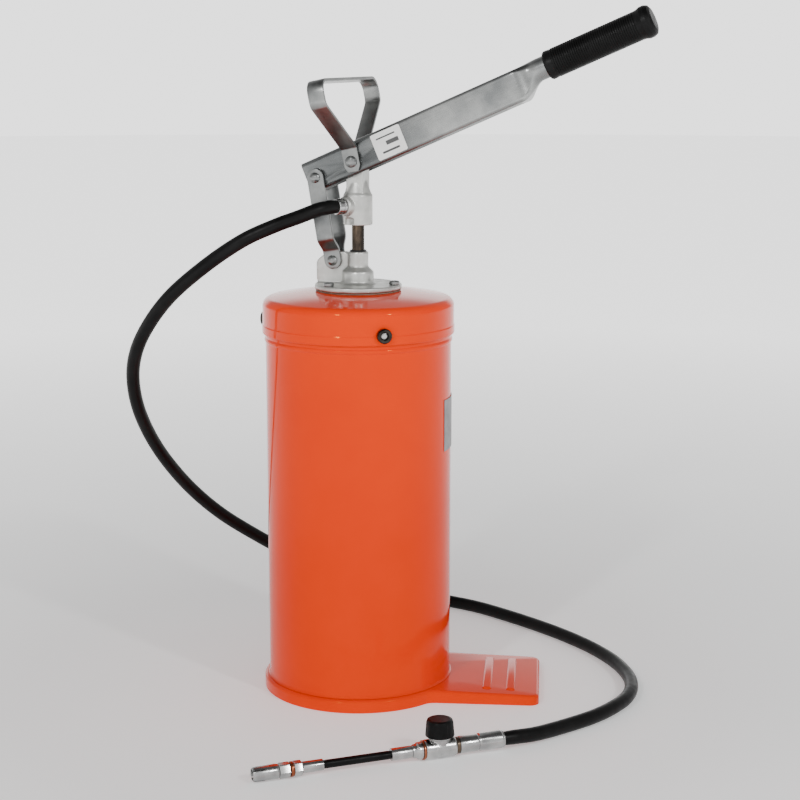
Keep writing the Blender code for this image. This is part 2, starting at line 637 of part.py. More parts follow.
# Link -----------------------------------------------------------------------------------------------------
def make_link():
    low, high = 6.6 * MM, 17.1 * MM
    bends = ((10 * MM, low), (22 * MM, high))

    def offset(distance):
        (start, near), (end, far) = bends
        share = min(1.0, max(0.0, (distance - start) / (end - start)))
        return near + (far - near) * share

    radius = LINK_HALF_WIDTH
    stations = []
    for angle in (170, 150, 130, 110, 90):
        turn = math.radians(angle)
        stations.append((radius * math.cos(turn), radius * math.sin(turn)))
    stations += [(10 * MM, radius), (22 * MM, radius)]
    for angle in (90, 70, 50, 30, 10):
        turn = math.radians(angle)
        stations.append((LINK_LENGTH + radius * math.cos(turn), radius * math.sin(turn)))
    for name, way in (("link_plate_front", -1), ("link_plate_rear", 1)):
        rows = [((0, way * offset(t), t), half) for t, half in stations]
        plate = strip(name, rows, LINK_SHEET, ZINC, link_frame)
        for hole, t in (("low", 0), ("high", LINK_LENGTH)):
            start = (0, way * offset(t) - 10 * MM, t)
            drill = (f"{name}_{hole}_hole", PIN_RADIUS + GAP, 20 * MM, None, 16)
            cut(plate, rod(*drill, start, (0, 1, 0), link_frame, True))
    for name, t in (("link_lug_pin", 0), ("link_lever_pin", LINK_LENGTH)):
        end = (offset(t) + LINK_SHEET / 2) / MM + 0.3
        pin = [(0, end + 2.2), (3.4, end + 2.2), (5, end + 1), (5, end), (3, end)]
        pin += [(r, -z) for r, z in pin[::-1]]
        turned(name, in_mm(pin), ZINC, 14, (0, 0, t), (0, -1, 0), link_frame)


# Carrying handle ------------------------------------------------------------------------------------------
def make_carry_handle():
    inner, outer, corner = 16.8 * MM, 75 * MM, 9 * MM
    top = 77 * MM
    half = [(-inner, -10 * MM), (-inner, 13 * MM), (-inner - 3 * MM, 17.5 * MM)]
    half += [(-outer + 3 * MM, 54 * MM), (-outer, 58 * MM)]
    half += [(y, z) for y, z in arc(-outer + corner, top - corner, corner, 180, 90, 4)]
    path = half + [(-y, z) for y, z in half[::-1]]
    rows = [((0, y, z), 8 * MM) for y, z in path]
    handle = strip("carry_handle", rows, 3 * MM, ZINC, handle_frame)
    side = Vector((0, 40 * MM, 0))
    cut(handle, rod("handle_pin_hole", 4.3 * MM, 80 * MM, None, 12, -side, (0, 1, 0), handle_frame, True))


# Outlet hose, shut-off valve and nozzle -------------------------------------------------------------------
def hex_ring(name, flats, inner, start, end, mat, frame, axis=(1, 0, 0)):
    """A hexagonal ring along the line of fittings, its size across flats."""
    corner = flats / math.sqrt(3)
    profile = [(inner, end - start), (corner, end - start), (corner, 0), (inner, 0)]
    return turned(name, profile, mat, 6, (start, 0, 0), axis, frame)


def make_outlet():
    """The hose leaves its two ferrules straight, and bends between them."""
    route = [Vector(point) * MM for point in HOSE_ROUTE]
    bends = smooth_route(route[1:-1], 27 * MM)
    hose("outlet_hose", [route[0]] + bends + [route[-1]], HOSE_RADIUS, RUBBER)


def make_outlet_fittings():
    def turned_on_line(name, outer, bore, mat, steps=18):
        """outer: (distance, radius) from the far end back to the near end."""
        low, high = outer[-1][0], outer[0][0]
        profile = [(bore, high)] + [(radius, t) for t, radius in outer] + [(bore, low)]
        return turned(name, in_mm(profile), mat, steps, (0, 0, 0), (1, 0, 0), line_frame)

    turned_on_line(
        "valve_ferrule",
        [(43.2, 7.2), (43.2, 7.9), (26, 7.9), (24.6, 7.2), (23.2, 8.1), (3, 8.1), (2, 7.6), (0.3, 7.6)],
        3, ZINC,
    )
    turned_on_line("valve_inlet_ring", [(46.6, 7.6), (43.5, 7.6)], 3, STEEL)
    body = turned_on_line("valve_body", [(76.4, 8.6), (75.4, 9.1), (48, 9.1), (46.9, 8.6)], 3, ZINC)
    up, stem, below = (0, 0, 1), (61 * MM, 0, 0), (61 * MM, 0, -6 * MM)
    tower_profile = in_mm([(0, 11.4), (10.6, 11.4), (10.6, 9.6), (8, 9.6), (8, 0), (0, 0)])
    tower = turned("valve_tower", tower_profile, None, 24, stem, up, line_frame, True)
    chamber = rod("valve_chamber", 5.4 * MM, 12 * MM, None, 16, below, up, line_frame, True)
    stem_hole = rod("valve_stem_hole", 2.3 * MM, 20 * MM, None, 12, stem, up, line_frame, True)
    join(body, tower)
    cut(body, chamber, stem_hole)
    plug_profile = in_mm([(0, 14), (2, 14), (2, 5), (5, 5), (5, -5), (0, -5)])
    plug = turned("valve_plug", plug_profile, STEEL, 16, stem, up, line_frame)
    bore = rod("plug_bore", 2.5 * MM, 16 * MM, None, 12, (53 * MM, 0, 0), (1, 0, 0), line_frame, True)
    cut(plug, bore)
    knob = [(0, 27.5), (11, 27.5), (12, 26.5), (12.6, 20), (13.2, 12), (2.3, 12), (2.3, 14.3), (0, 14.3)]
    turned("valve_knob", in_mm(knob), PLASTIC, 24, stem, up, line_frame)
    turned_on_line("valve_washer", [(78.3, 8.9), (76.7, 8.9)], 3, COPPER)
    adapter = [(88, 5.4), (87.4, 6), (84, 6.5), (80.5, 7.6), (78.6, 7.6)]
    turned_on_line("nozzle_hose_adapter", adapter, 2.2, ZINC)
    turned_on_line("nozzle_hose_ferrule_upper", [(107.7, 5.6), (88.3, 5.6)], 2.2, ZINC)
    nozzle_hose = [Vector(((108 + 7.8 * i) * MM, 0, 0)) for i in range(9)]
    hose("nozzle_hose", nozzle_hose, 3.9 * MM, RUBBER, line_frame)
    turned_on_line("nozzle_hose_ferrule_lower", [(189.6, 5.2), (170.7, 5.2)], 2.2, ZINC)
    hex_ring("nozzle_lock_nut", 12.4 * MM, 2.2 * MM, 189.9 * MM, 197.9 * MM, ZINC, line_frame)
    turned_on_line("nozzle_washer", [(200.6, 6.9), (198.2, 6.9)], 2.2, COPPER)
    hex_ring("nozzle_adapter", 12.4 * MM, 2.2 * MM, 200.9 * MM, 211.2 * MM, ZINC, line_frame)
    mouth = [(234.7, 5.8), (233.2, 6.6), (213, 6.8), (211.5, 6.4)]
    tip_profile = [(4.7, 234.7)] + [(radius, distance) for distance, radius in mouth]
    tip_profile += [(2.2, 211.5), (2.2, 217), (4.7, 219)]
    tip = turned("nozzle_coupler", in_mm(tip_profile), ZINC, 24, axis=(1, 0, 0), frame=line_frame)
    for number in range(2):
        size, centre = (13 * MM, 30 * MM, 1.1 * MM), (231 * MM, 0, 0)
        slit = block(f"coupler_slit_{number}", size, centre, None, frame=line_frame, cutter=True)
        slit.rotation_euler.x = math.radians(45 + 90 * number)
        cut(tip, slit)


make_foot_plate()
make_drum()
make_lid()
make_lid_fasteners()
make_pump_flange()
make_pump_internals()
make_piston()
make_pump_head()
make_lever()
make_link()
make_carry_handle()
make_outlet()
make_outlet_fittings()
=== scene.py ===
"""Looks of the hand lever gear oil pump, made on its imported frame.

Metres, +Z up. The frame's origin is on the drum's axis, on the floor, and the lever points to +X.
A piece is named after the node it stands for, with _look after it."""

import json
import math

import bmesh
import bpy
from mathutils import Matrix, Vector


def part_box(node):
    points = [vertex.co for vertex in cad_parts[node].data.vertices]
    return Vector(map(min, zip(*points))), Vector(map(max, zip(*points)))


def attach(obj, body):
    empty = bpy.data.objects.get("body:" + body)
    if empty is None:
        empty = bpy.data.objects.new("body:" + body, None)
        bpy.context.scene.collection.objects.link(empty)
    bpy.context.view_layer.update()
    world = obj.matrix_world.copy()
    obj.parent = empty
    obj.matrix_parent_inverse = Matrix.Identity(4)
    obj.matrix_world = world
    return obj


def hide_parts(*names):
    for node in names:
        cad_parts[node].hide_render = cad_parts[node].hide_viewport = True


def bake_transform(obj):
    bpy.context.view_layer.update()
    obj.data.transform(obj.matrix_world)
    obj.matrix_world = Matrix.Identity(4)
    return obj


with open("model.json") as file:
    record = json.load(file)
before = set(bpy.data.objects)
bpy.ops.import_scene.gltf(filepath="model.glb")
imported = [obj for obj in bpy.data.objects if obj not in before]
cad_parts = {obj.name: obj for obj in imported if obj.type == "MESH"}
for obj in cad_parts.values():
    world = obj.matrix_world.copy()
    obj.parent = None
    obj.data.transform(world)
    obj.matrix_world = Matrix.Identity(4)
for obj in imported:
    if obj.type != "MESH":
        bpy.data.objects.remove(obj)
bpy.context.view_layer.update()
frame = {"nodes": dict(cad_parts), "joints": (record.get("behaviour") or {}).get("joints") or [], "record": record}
MM = 0.001
SHARP = 32  # degrees between two faces from which their edge is shaded sharp
PIVOT_BORE = 4.3
LINK_BORE = 3.3
JOINTS = {joint["name"]: joint for joint in frame["joints"]}
LEVER_PIVOT = Vector(JOINTS["lever_hinge"]["pos_m"])
LUG_PIN = Vector(JOINTS["link_hinge"]["pos_m"])


# Camera ---------------------------------------------------------------------------------------------------
FRONT = math.radians(20)  # how far round from -Y the camera stands


def make_camera():
    """The viewpoint: a little round from the front, the eye a little under the grip, looking down."""
    pitch, turn = math.radians(10.91), math.radians(1.32)
    distance, height = 1.747, 0.6238
    data = bpy.data.cameras.new("camera")
    data.lens = 81.9
    data.clip_end = 50
    camera = bpy.data.objects.new("camera", data)
    bpy.context.scene.collection.objects.link(camera)
    camera.location = (distance * math.sin(FRONT), -distance * math.cos(FRONT), height)
    heading = FRONT - turn
    forward = Vector(
        (-math.sin(heading) * math.cos(pitch), math.cos(heading) * math.cos(pitch), -math.sin(pitch))
    )
    camera.rotation_euler = forward.to_track_quat("-Z", "Y").to_euler()
    bpy.context.scene.camera = camera


# Materials ------------------------------------------------------------------------------------------------
class Tree:
    """A node tree, with short calls for the few nodes that are used here."""

    def __init__(self, owner):
        owner.use_nodes = True
        self.tree = owner.node_tree
        self.coordinates = self.node("ShaderNodeTexCoord").outputs

    def node(self, kind, **settings):
        made = self.tree.nodes.new(kind)
        for name, value in settings.items():
            setattr(made, name, value)
        return made

    def link(self, source, target):
        self.tree.links.new(source, target)

    def ramp(self, value, low, high, to_low=0.0, to_high=1.0, curve="LINEAR"):
        ramp = self.node("ShaderNodeMapRange", interpolation_type=curve)
        for name, number in (("From Min", low), ("From Max", high), ("To Min", to_low), ("To Max", to_high)):
            ramp.inputs[name].default_value = number
        self.link(value, ramp.inputs["Value"])
        return ramp.outputs["Result"]

    def combined(self, operation, first, second):
        node = self.node("ShaderNodeMath", operation=operation)
        self.link(first, node.inputs[0])
        self.link(second, node.inputs[1])
        return node.outputs["Value"]


class Nodes(Tree):
    """A material's node tree. Its textures are placed from the piece's own origin."""

    def __init__(self, name):
        self.material = bpy.data.materials.new(name)
        super().__init__(self.material)
        self.shader = self.tree.nodes["Principled BSDF"]
        self.place = self.coordinates["Object"]

    def noise(self, scale, stretch=(1, 1, 1), detail=4, rough=0.55):
        mapping = self.node("ShaderNodeMapping")
        mapping.inputs["Scale"].default_value = stretch
        self.link(self.place, mapping.inputs["Vector"])
        noise = self.node("ShaderNodeTexNoise")
        noise.inputs["Scale"].default_value = scale
        noise.inputs["Detail"].default_value = detail
        noise.inputs["Roughness"].default_value = rough
        self.link(mapping.outputs["Vector"], noise.inputs["Vector"])
        return noise.outputs["Fac"]

    def reach(self):
        """The distance from the piece's own origin."""
        length = self.node("ShaderNodeVectorMath", operation="LENGTH")
        self.link(self.place, length.inputs[0])
        return length.outputs["Value"]

    def mix(self, share, first, second):
        mix = self.node("ShaderNodeMix", data_type="RGBA")
        self.link(share, mix.inputs["Factor"])
        for socket, value in ((mix.inputs[6], first), (mix.inputs[7], second)):
            if isinstance(value, tuple):
                socket.default_value = (*value, 1)
            else:
                self.link(value, socket)
        return mix.outputs[2]

    def bump(self, value, distance, strength=1.0, under=None):
        bump = self.node("ShaderNodeBump")
        bump.inputs["Distance"].default_value = distance
        bump.inputs["Strength"].default_value = strength
        self.link(value, bump.inputs["Height"])
        if under:
            self.link(under, bump.inputs["Normal"])
        return bump.outputs["Normal"]

    def finish(self, colour, roughness, normal=None, metallic=0.0, specular=0.5, tint=(1, 1, 1)):
        self.link(colour, self.shader.inputs["Base Color"])
        self.link(roughness, self.shader.inputs["Roughness"])
        if normal:
            self.link(normal, self.shader.inputs["Normal"])
        self.shader.inputs["Metallic"].default_value = metallic
        self.shader.inputs["Specular IOR Level"].default_value = specular
        self.shader.inputs["Specular Tint"].default_value = (*tint, 1)
        return self.material


def paint():
    """Glossy stove enamel: an even orange with a faint orange peel and a few dull, rubbed places."""
    nodes = Nodes("orange_paint")
    tone = nodes.ramp(nodes.noise(9, detail=3), 0.3, 0.7)
    colour = nodes.mix(tone, (0.77, 0.032, 0.0002), (0.84, 0.039, 0.0004))
    rubbed = nodes.ramp(nodes.noise(28, detail=6, rough=0.7), 0.52, 0.75, 0.10, 0.18)
    peel = nodes.bump(nodes.noise(420, detail=2), 0.00006, 0.25)
    return nodes.finish(colour, rubbed, peel, specular=0.22, tint=(1, 0.34, 0.04))


def zinc(name, stretch, grain, smooth, dull, painted_shade_and_oil):
    """Bright zinc plate on pressed steel: cloudy, with fine lines along the axes that are stretched least.

    Its last share says how far it is darkened round the piece's own origin, which is its pivot: painted shade,
    with oil there too."""
    nodes = Nodes(name)
    cloud = nodes.ramp(nodes.noise(32, detail=6, rough=0.62), 0.32, 0.70)
    colour = nodes.mix(cloud, (0.20, 0.208, 0.208), (0.38, 0.385, 0.375))
    # Painted shade, with some oil: darker round the piece's own origin, its pivot, fading out by 95 mm.
    shade_and_oil_share = nodes.ramp(nodes.reach(), 0.015, 0.095, painted_shade_and_oil, 0)
    colour = nodes.mix(shade_and_oil_share, colour, (0.075, 0.081, 0.083))
    drawn = nodes.noise(60, stretch, detail=3)
    roughness = nodes.ramp(drawn, 0.3, 0.7, smooth, dull)
    lines = nodes.bump(drawn, 0.00002, 0.12)
    skin = nodes.bump(nodes.noise(900, detail=2), 0.00003, grain, lines)
    return nodes.finish(colour, roughness, skin, metallic=1.0)


def plated():
    """Turned and plated fittings: bright, with faint turning marks."""
    nodes = Nodes("plated_fitting")
    cloud = nodes.ramp(nodes.noise(70, detail=4), 0.35, 0.7)
    colour = nodes.mix(cloud, (0.34, 0.34, 0.34), (0.56, 0.56, 0.55))
    turned = nodes.noise(90, (1, 0.1, 0.1), detail=5, rough=0.7)
    roughness = nodes.ramp(turned, 0.3, 0.7, 0.16, 0.30)
    return nodes.finish(colour, roughness, nodes.bump(turned, 0.00004, 0.4), metallic=1.0)


def casting():
    """Sand cast light alloy, a little grainy, browned where oil has run."""
    nodes = Nodes("cast_alloy")
    cloud = nodes.ramp(nodes.noise(45, detail=6, rough=0.65), 0.35, 0.68)
    clean = nodes.mix(cloud, (0.44, 0.445, 0.425), (0.64, 0.64, 0.61))
    oily = nodes.ramp(nodes.noise(26, (1, 1, 0.4), detail=3), 0.60, 0.78, 0.0, 0.55)
    colour = nodes.mix(oily, clean, (0.26, 0.20, 0.14))
    roughness = nodes.ramp(nodes.noise(130, detail=4), 0.3, 0.7, 0.32, 0.50)
    pits = nodes.bump(nodes.noise(700, detail=3), 0.00018, 0.55)
    return nodes.finish(colour, roughness, pits, metallic=0.85)


def dark_steel():
    """Oiled dark steel, brown in streaks."""
    nodes = Nodes("dark_steel")
    streak = nodes.ramp(nodes.noise(60, (1, 1, 0.25), detail=5, rough=0.7), 0.35, 0.68)
    colour = nodes.mix(streak, (0.030, 0.024, 0.020), (0.20, 0.145, 0.10))
    roughness = nodes.ramp(nodes.noise(150, detail=3), 0.3, 0.7, 0.24, 0.42)
    return nodes.finish(colour, roughness, nodes.bump(streak, 0.00005, 0.3), metallic=0.9)


def metal(name, dark, light):
    """A machined soft metal, such as brass or copper."""
    nodes = Nodes(name)
    cloud = nodes.ramp(nodes.noise(80, detail=5), 0.35, 0.68)
    roughness = nodes.ramp(nodes.noise(160, detail=3), 0.3, 0.7, 0.25, 0.42)
    grain = nodes.bump(nodes.noise(600, detail=2), 0.00005, 0.3)
    return nodes.finish(nodes.mix(cloud, dark, light), roughness, grain, metallic=1.0)


def rubber(name="black_rubber", dark=(0.002, 0.002, 0.002), light=(0.007, 0.007, 0.007)):
    """Moulded rubber with a dull bloom and a fine skin."""
    nodes = Nodes(name)
    bloom = nodes.ramp(nodes.noise(38, detail=5, rough=0.65), 0.35, 0.72)
    roughness = nodes.ramp(nodes.noise(120, detail=4), 0.3, 0.7, 0.30, 0.46)
    skin = nodes.bump(nodes.noise(1300, detail=2), 0.00006, 0.5)
    return nodes.finish(nodes.mix(bloom, dark, light), roughness, skin, specular=0.13)


def plastic():
    """Moulded black plastic, slightly uneven in gloss."""
    nodes = Nodes("black_plastic")
    tone = nodes.ramp(nodes.noise(90, detail=3), 0.35, 0.7)
    roughness = nodes.ramp(nodes.noise(220, detail=3), 0.3, 0.7, 0.34, 0.46)
    skin = nodes.bump(nodes.noise(1600, detail=2), 0.00003, 0.35)
    colour = nodes.mix(tone, (0.002, 0.002, 0.002), (0.006, 0.006, 0.006))
    return nodes.finish(colour, roughness, skin, specular=0.12)


def paper(name, dark, light, metallic=0.0):
    """Label stock: fine fibres and a slightly uneven tone."""
    nodes = Nodes(name)
    tone = nodes.ramp(nodes.noise(60, detail=5), 0.35, 0.7)
    roughness = nodes.ramp(nodes.noise(400, detail=2), 0.3, 0.7, 0.42, 0.58)
    fibre = nodes.bump(nodes.noise(1500, (1, 0.3, 1), detail=3), 0.00003, 0.4)
    return nodes.finish(nodes.mix(tone, dark, light), roughness, fibre, metallic=metallic)


LOOKS = {
    "orange_paint": paint(),
    # The last number of each zinc is its share of painted shade and oil round its pivot.
    "zinc_plate": zinc("zinc_plate", (1, 12, 12), 0.2, 0.22, 0.32, 0.85),
    "zinc_strip": zinc("zinc_strip", (8, 1, 1), 0.04, 0.27, 0.36, 0.3),
    "plated": plated(),
    "cast_alloy": casting(),
    "dark_steel": dark_steel(),
    "brass": metal("brass", (0.50, 0.33, 0.12), (0.72, 0.52, 0.24)),
    "black_steel": metal("black_steel", (0.014, 0.013, 0.012), (0.07, 0.06, 0.052)),
    "copper": metal("copper", (0.30, 0.085, 0.04), (0.52, 0.20, 0.11)),
    "black_rubber": rubber(),
    "black_plastic": plastic(),
    "seal_rubber": rubber("seal_rubber", (0.014, 0.014, 0.014), (0.035, 0.035, 0.035)),
    "white_label": paper("white_label", (0.80, 0.80, 0.78), (0.88, 0.88, 0.86)),
    "label_foil": paper("label_foil", (0.20, 0.20, 0.20), (0.30, 0.31, 0.32), 0.4),
    "gasket_fibre": paper("gasket_fibre", (0.16, 0.13, 0.09), (0.26, 0.22, 0.16)),
    "print": paper("print", (0.05, 0.05, 0.05), (0.09, 0.09, 0.09)),
    "oil": rubber("oil", (0.055, 0.032, 0.018), (0.13, 0.075, 0.04)),
}


# Shapes ---------------------------------------------------------------------------------------------------
def in_mm(points):
    return [tuple(value * MM for value in point) for point in points]


def polar(radius, degrees, height=0.0):
    angle = math.radians(degrees)
    return Vector((radius * math.cos(angle), radius * math.sin(angle), height))


def along(start, direction):
    """The matrix that puts local Z along a direction, starting from a point."""
    turn = Vector((0, 0, 1)).rotation_difference(Vector(direction)).to_matrix().to_4x4()
    return Matrix.Translation(Vector(start)) @ turn


def arc(centre_x, centre_y, radius, start, end, steps):
    turns = [math.radians(start + (end - start) * i / steps) for i in range(steps + 1)]
    return [(centre_x + radius * math.cos(a), centre_y + radius * math.sin(a)) for a in turns]


def rounded(outline, radius, steps=3, closed=True):
    """The outline of 2D points with each corner rounded, as far as its sides allow."""
    flat_enough, most_of_side = math.radians(12), 0.45
    result = []
    count = len(outline)
    for i, point in enumerate(outline):
        here = Vector(point)
        if not closed and i in (0, count - 1):
            result.append(tuple(here))
            continue
        before, after = Vector(outline[i - 1]), Vector(outline[(i + 1) % count])
        back, ahead = before - here, after - here
        if min(back.length, ahead.length) < 1e-9:
            continue
        turn = math.pi - back.angle(ahead)
        if turn < flat_enough:
            result.append(tuple(here))
            continue
        reach = min(radius * math.tan(turn / 2), back.length * most_of_side, ahead.length * most_of_side)
        start, end = here + back.normalized() * reach, here + ahead.normalized() * reach
        for k in range(steps + 1):
            t = k / steps
            result.append(tuple(start * (1 - t) ** 2 + here * 2 * t * (1 - t) + end * t**2))
    return result


def oblong(width, height, radius, steps=3):
    x, y = width / 2, height / 2
    return rounded([(-x, -y), (x, -y), (x, y), (-x, y)], radius, steps)


def new_mesh(name, shape):
    bmesh.ops.remove_doubles(shape, verts=shape.verts, dist=0.000002)
    bmesh.ops.recalc_face_normals(shape, faces=shape.faces)
    mesh = bpy.data.meshes.new(name)
    shape.to_mesh(mesh)
    shape.free()
    return mesh


def lathe(name, profile, steps=72, rounding=0.4, ripple=None):
    """Turns a profile of (radius, height) in mm about Z. One that leaves the axis out becomes a ring.

    The ripple gives a factor on the radius for an angle and a height."""
    touches = profile[0][0] == 0 or profile[-1][0] == 0
    points = in_mm(rounded(profile, rounding, closed=not touches)) if rounding else in_mm(profile)
    shape = bmesh.new()
    rings = []
    for radius, height in points:
        if radius < 1e-7:
            rings.append([shape.verts.new((0, 0, height))] * steps)
            continue
        ring = []
        for k in range(steps):
            angle = 2 * math.pi * k / steps
            swell = radius * (ripple(angle, height / MM) if ripple else 1)
            ring.append(shape.verts.new((swell * math.cos(angle), swell * math.sin(angle), height)))
        rings.append(ring)
    pairs = list(zip(rings, rings[1:]))
    if not touches:
        pairs.append((rings[-1], rings[0]))
    for low, high in pairs:
        for k in range(steps):
            corners = (low[k], low[(k + 1) % steps], high[(k + 1) % steps], high[k])
            single = list(dict.fromkeys(corners))
            if len(single) > 2:
                shape.faces.new(single)
    return new_mesh(name, shape)


def loft(name, sections):
    """A closed skin through sections that hold the same number of points."""
    shape = bmesh.new()
    rings = [[shape.verts.new(point) for point in section] for section in sections]
    count = len(sections[0])
    for near, far in zip(rings, rings[1:]):
        for i in range(count):
            shape.faces.new((near[i], near[(i + 1) % count], far[(i + 1) % count], far[i]))
    shape.faces.new(reversed(rings[0]))
    shape.faces.new(rings[-1])
    return new_mesh(name, shape)


def slab(name, outline, thickness, upright=False):
    """A flat plate in mm with its outline in XY, or in XZ when upright, centred on that plane."""
    half = thickness / 2

    def point(x, y, t):
        return (x * MM, t * MM, y * MM) if upright else (x * MM, y * MM, t * MM)

    return loft(name, [[point(x, y, t) for x, y in outline] for t in (-half, half)])


def modified(mesh, *steps):
    """The mesh after a list of modifiers, each a type and its settings."""
    obj = bpy.data.objects.new("draft", mesh)
    bpy.context.scene.collection.objects.link(obj)
    for kind, settings in steps:
        modifier = obj.modifiers.new(kind, kind)
        for name, value in settings.items():
            setattr(modifier, name, value)
    graph = bpy.context.evaluated_depsgraph_get()
    result = bpy.data.meshes.new_from_object(obj.evaluated_get(graph))
    bpy.data.objects.remove(obj, do_unlink=True)
    result.name = mesh.name
    return result


def joined(name, *meshes):
    """Several meshes as one, each with the matrix that places it."""
    shape = bmesh.new()
    for mesh, place in meshes:
        copy = mesh.copy()
        copy.transform(place)
        shape.from_mesh(copy)
    mesh = bpy.data.meshes.new(name)
    shape.to_mesh(mesh)
    shape.free()
    return mesh


def carved(mesh, *cutters):
    """The mesh with closed cutter meshes taken out of it."""
    for cutter, place in cutters:
        tool = bpy.data.objects.new("cutter", cutter)
        tool.matrix_world = place
        bpy.context.scene.collection.objects.link(tool)
        bpy.context.view_layer.update()
        mesh = modified(mesh, ("BOOLEAN", {"object": tool, "operation": "DIFFERENCE"}))
        bpy.data.objects.remove(tool, do_unlink=True)
    return mesh


def pin(radius, length, steps=32):
    """A plain cutter for a hole, along Z, in mm."""
    end = length / 2
    return lathe("pin", [(0, end), (radius, end), (radius, -end), (0, -end)], steps, 0)


def raised(height):
    return Matrix.Translation((0, 0, height * MM))


def brick(size_x, size_y, size_z, rounding=0.0):
    shape = bmesh.new()
    bmesh.ops.create_cube(shape, size=1)
    bmesh.ops.scale(shape, vec=Vector((size_x, size_y, size_z)) * MM, verts=shape.verts)
    mesh = new_mesh("brick", shape)
    if rounding:
        settings = {"width": rounding * MM, "segments": 4, "limit_method": "ANGLE"}
        mesh = modified(mesh, ("BEVEL", settings))
    return mesh


def cast_body(mesh, voxel, smoothing):
    """Overlapping shapes fused into one casting with soft inner corners."""
    return modified(
        mesh,
        ("REMESH", {"mode": "VOXEL", "voxel_size": voxel * MM}),
        ("SMOOTH", {"factor": 0.5, "iterations": smoothing}),
    )


def add(name, mesh, look, body, place=None, stands_for=(), sharp=SHARP):
    """Shows a mesh as a piece that rides on a body. One that runs between two bodies names none and rides on
    neither.
    """
    obj = bpy.data.objects.new(name, mesh)
    bpy.context.scene.collection.objects.link(obj)
    mesh.materials.clear()
    mesh.materials.append(LOOKS[look])
    mesh.shade_smooth()
    mesh.set_sharp_from_angle(angle=math.radians(sharp))
    if place is not None:
        obj.matrix_world = place
    if body:
        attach(obj, body)
    if stands_for:
        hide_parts(*stands_for)
    return obj


# Outlet hose ----------------------------------------------------------------------------------------------
# Points of the hose's centre line from the pump head to the shut-off valve, in mm.
HOSE_ROUTE = [
    (-14.41, -23.07, 477), (-18.55, -29.68, 477), (-26.5, -40, 475), (-42, -51, 468.5), (-61, -61, 461),
    (-90, -71, 447), (-127, -76, 422), (-167, -72, 390), (-199, -60, 355), (-219, -46, 323),
    (-229, -29, 290), (-232, -6, 254), (-227, 23, 214), (-213, 56, 173), (-192, 87, 138),
    (-165, 118, 108), (-135, 152, 79), (-103, 188, 52), (-69, 222, 30), (-31, 249, 14),
    (9, 260, 8), (48, 252, 7), (87, 233, 7), (126, 210.5, 7), (165, 184.5, 7), (202, 154, 7),
    (233, 120, 7), (255, 84, 7), (266, 52, 7), (268.5, 20, 7), (262, -12, 7), (249, -44, 7),
    (229, -77, 7.2), (210, -106.5, 8.4), (193.4, -125.3, 10), (185.5, -131.5, 10),
]
HOSE_RADIUS = 6.75
NOZZLE_HOSE_RADIUS = 3.9
LINE_START = Vector(HOSE_ROUTE[-1]) * MM
LINE_END = Vector((0.5, -276.0, 7.4)) * MM


def smooth_route(points, share=8):
    """Points on a Catmull-Rom curve through the route's own points."""
    ends = [points[0] * 2 - points[1]] + points + [points[-1] * 2 - points[-2]]
    fine = []
    for a, b, c, d in zip(ends, ends[1:], ends[2:], ends[3:]):
        for i in range(share):
            t = i / share
            bend = (2 * a - 5 * b + 4 * c - d) * t**2 + (3 * b - a - 3 * c + d) * t**3
            fine.append(0.5 * (2 * b + (c - a) * t + bend))
    return fine + [points[-1]]


def tube(name, points, radius, sides=20):
    """A solid round cord along a path, a little thinner at its two ends."""
    end_share = 0.93
    tangents = []
    for i in range(len(points)):
        ahead, back = points[min(i + 1, len(points) - 1)], points[max(i - 1, 0)]
        tangents.append((ahead - back).normalized())
    side = tangents[0].orthogonal().normalized()
    sections = []
    for i, (point, tangent) in enumerate(zip(points, tangents)):
        side = (side - tangent * side.dot(tangent)).normalized()
        other = tangent.cross(side)
        ring = []
        size = radius * (end_share if i in (0, len(points) - 1) else 1)
        for k in range(sides):
            angle = 2 * math.pi * k / sides
            ring.append(point + (side * math.cos(angle) + other * math.sin(angle)) * size)
        sections.append(ring)
    return loft(name, sections)


def make_hoses():
    route = [Vector(point) * MM for point in HOSE_ROUTE]
    path = [route[0]] + smooth_route(route[1:-1]) + [route[-1]]
    mesh = tube("outlet_hose_look", path, HOSE_RADIUS * MM)
    outlet = add("outlet_hose_look", mesh, "black_rubber", None, stands_for=["outlet_hose"])
    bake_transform(outlet)
    first, pitch, count = 108, 2.6, 25
    nozzle_path = [LINE @ Vector(((first + pitch * i) * MM, 0, 0)) for i in range(count)]
    mesh = tube("nozzle_hose_look", nozzle_path, NOZZLE_HOSE_RADIUS * MM)
    nozzle = add("nozzle_hose_look", mesh, "black_rubber", "tank", stands_for=["nozzle_hose"])
    return (outlet, path), (nozzle, nozzle_path)


def line_matrix():
    """Frame of the fittings on the floor: X runs from the shut-off valve to the nozzle."""
    run = LINE_END - LINE_START
    turn = math.atan2(run.y, run.x)
    fall = math.atan2(-run.z, math.hypot(run.x, run.y))
    return Matrix.Translation(LINE_START) @ Matrix.Rotation(turn, 4, "Z") @ Matrix.Rotation(fall, 4, "Y")


# The camera and the cords come first. The fittings are then placed on the line that the hose ends on.
make_camera()
LINE = line_matrix()
TURNED_ON_LINE = LINE @ along((0, 0, 0), (1, 0, 0))
hoses = make_hoses()


# Foot plate, drum and lid ---------------------------------------------------------------------------------
PLATE_TOP = 12.5
PLATE_RADIUS = 95
TAB_ANGLE = 14
TAB_FALL = 0.035  # the slope of the tab's top, down and outwards
TAB_REACH = 180
TAB_HALF_WIDTH = 60
DRUM_RADIUS = 90.0


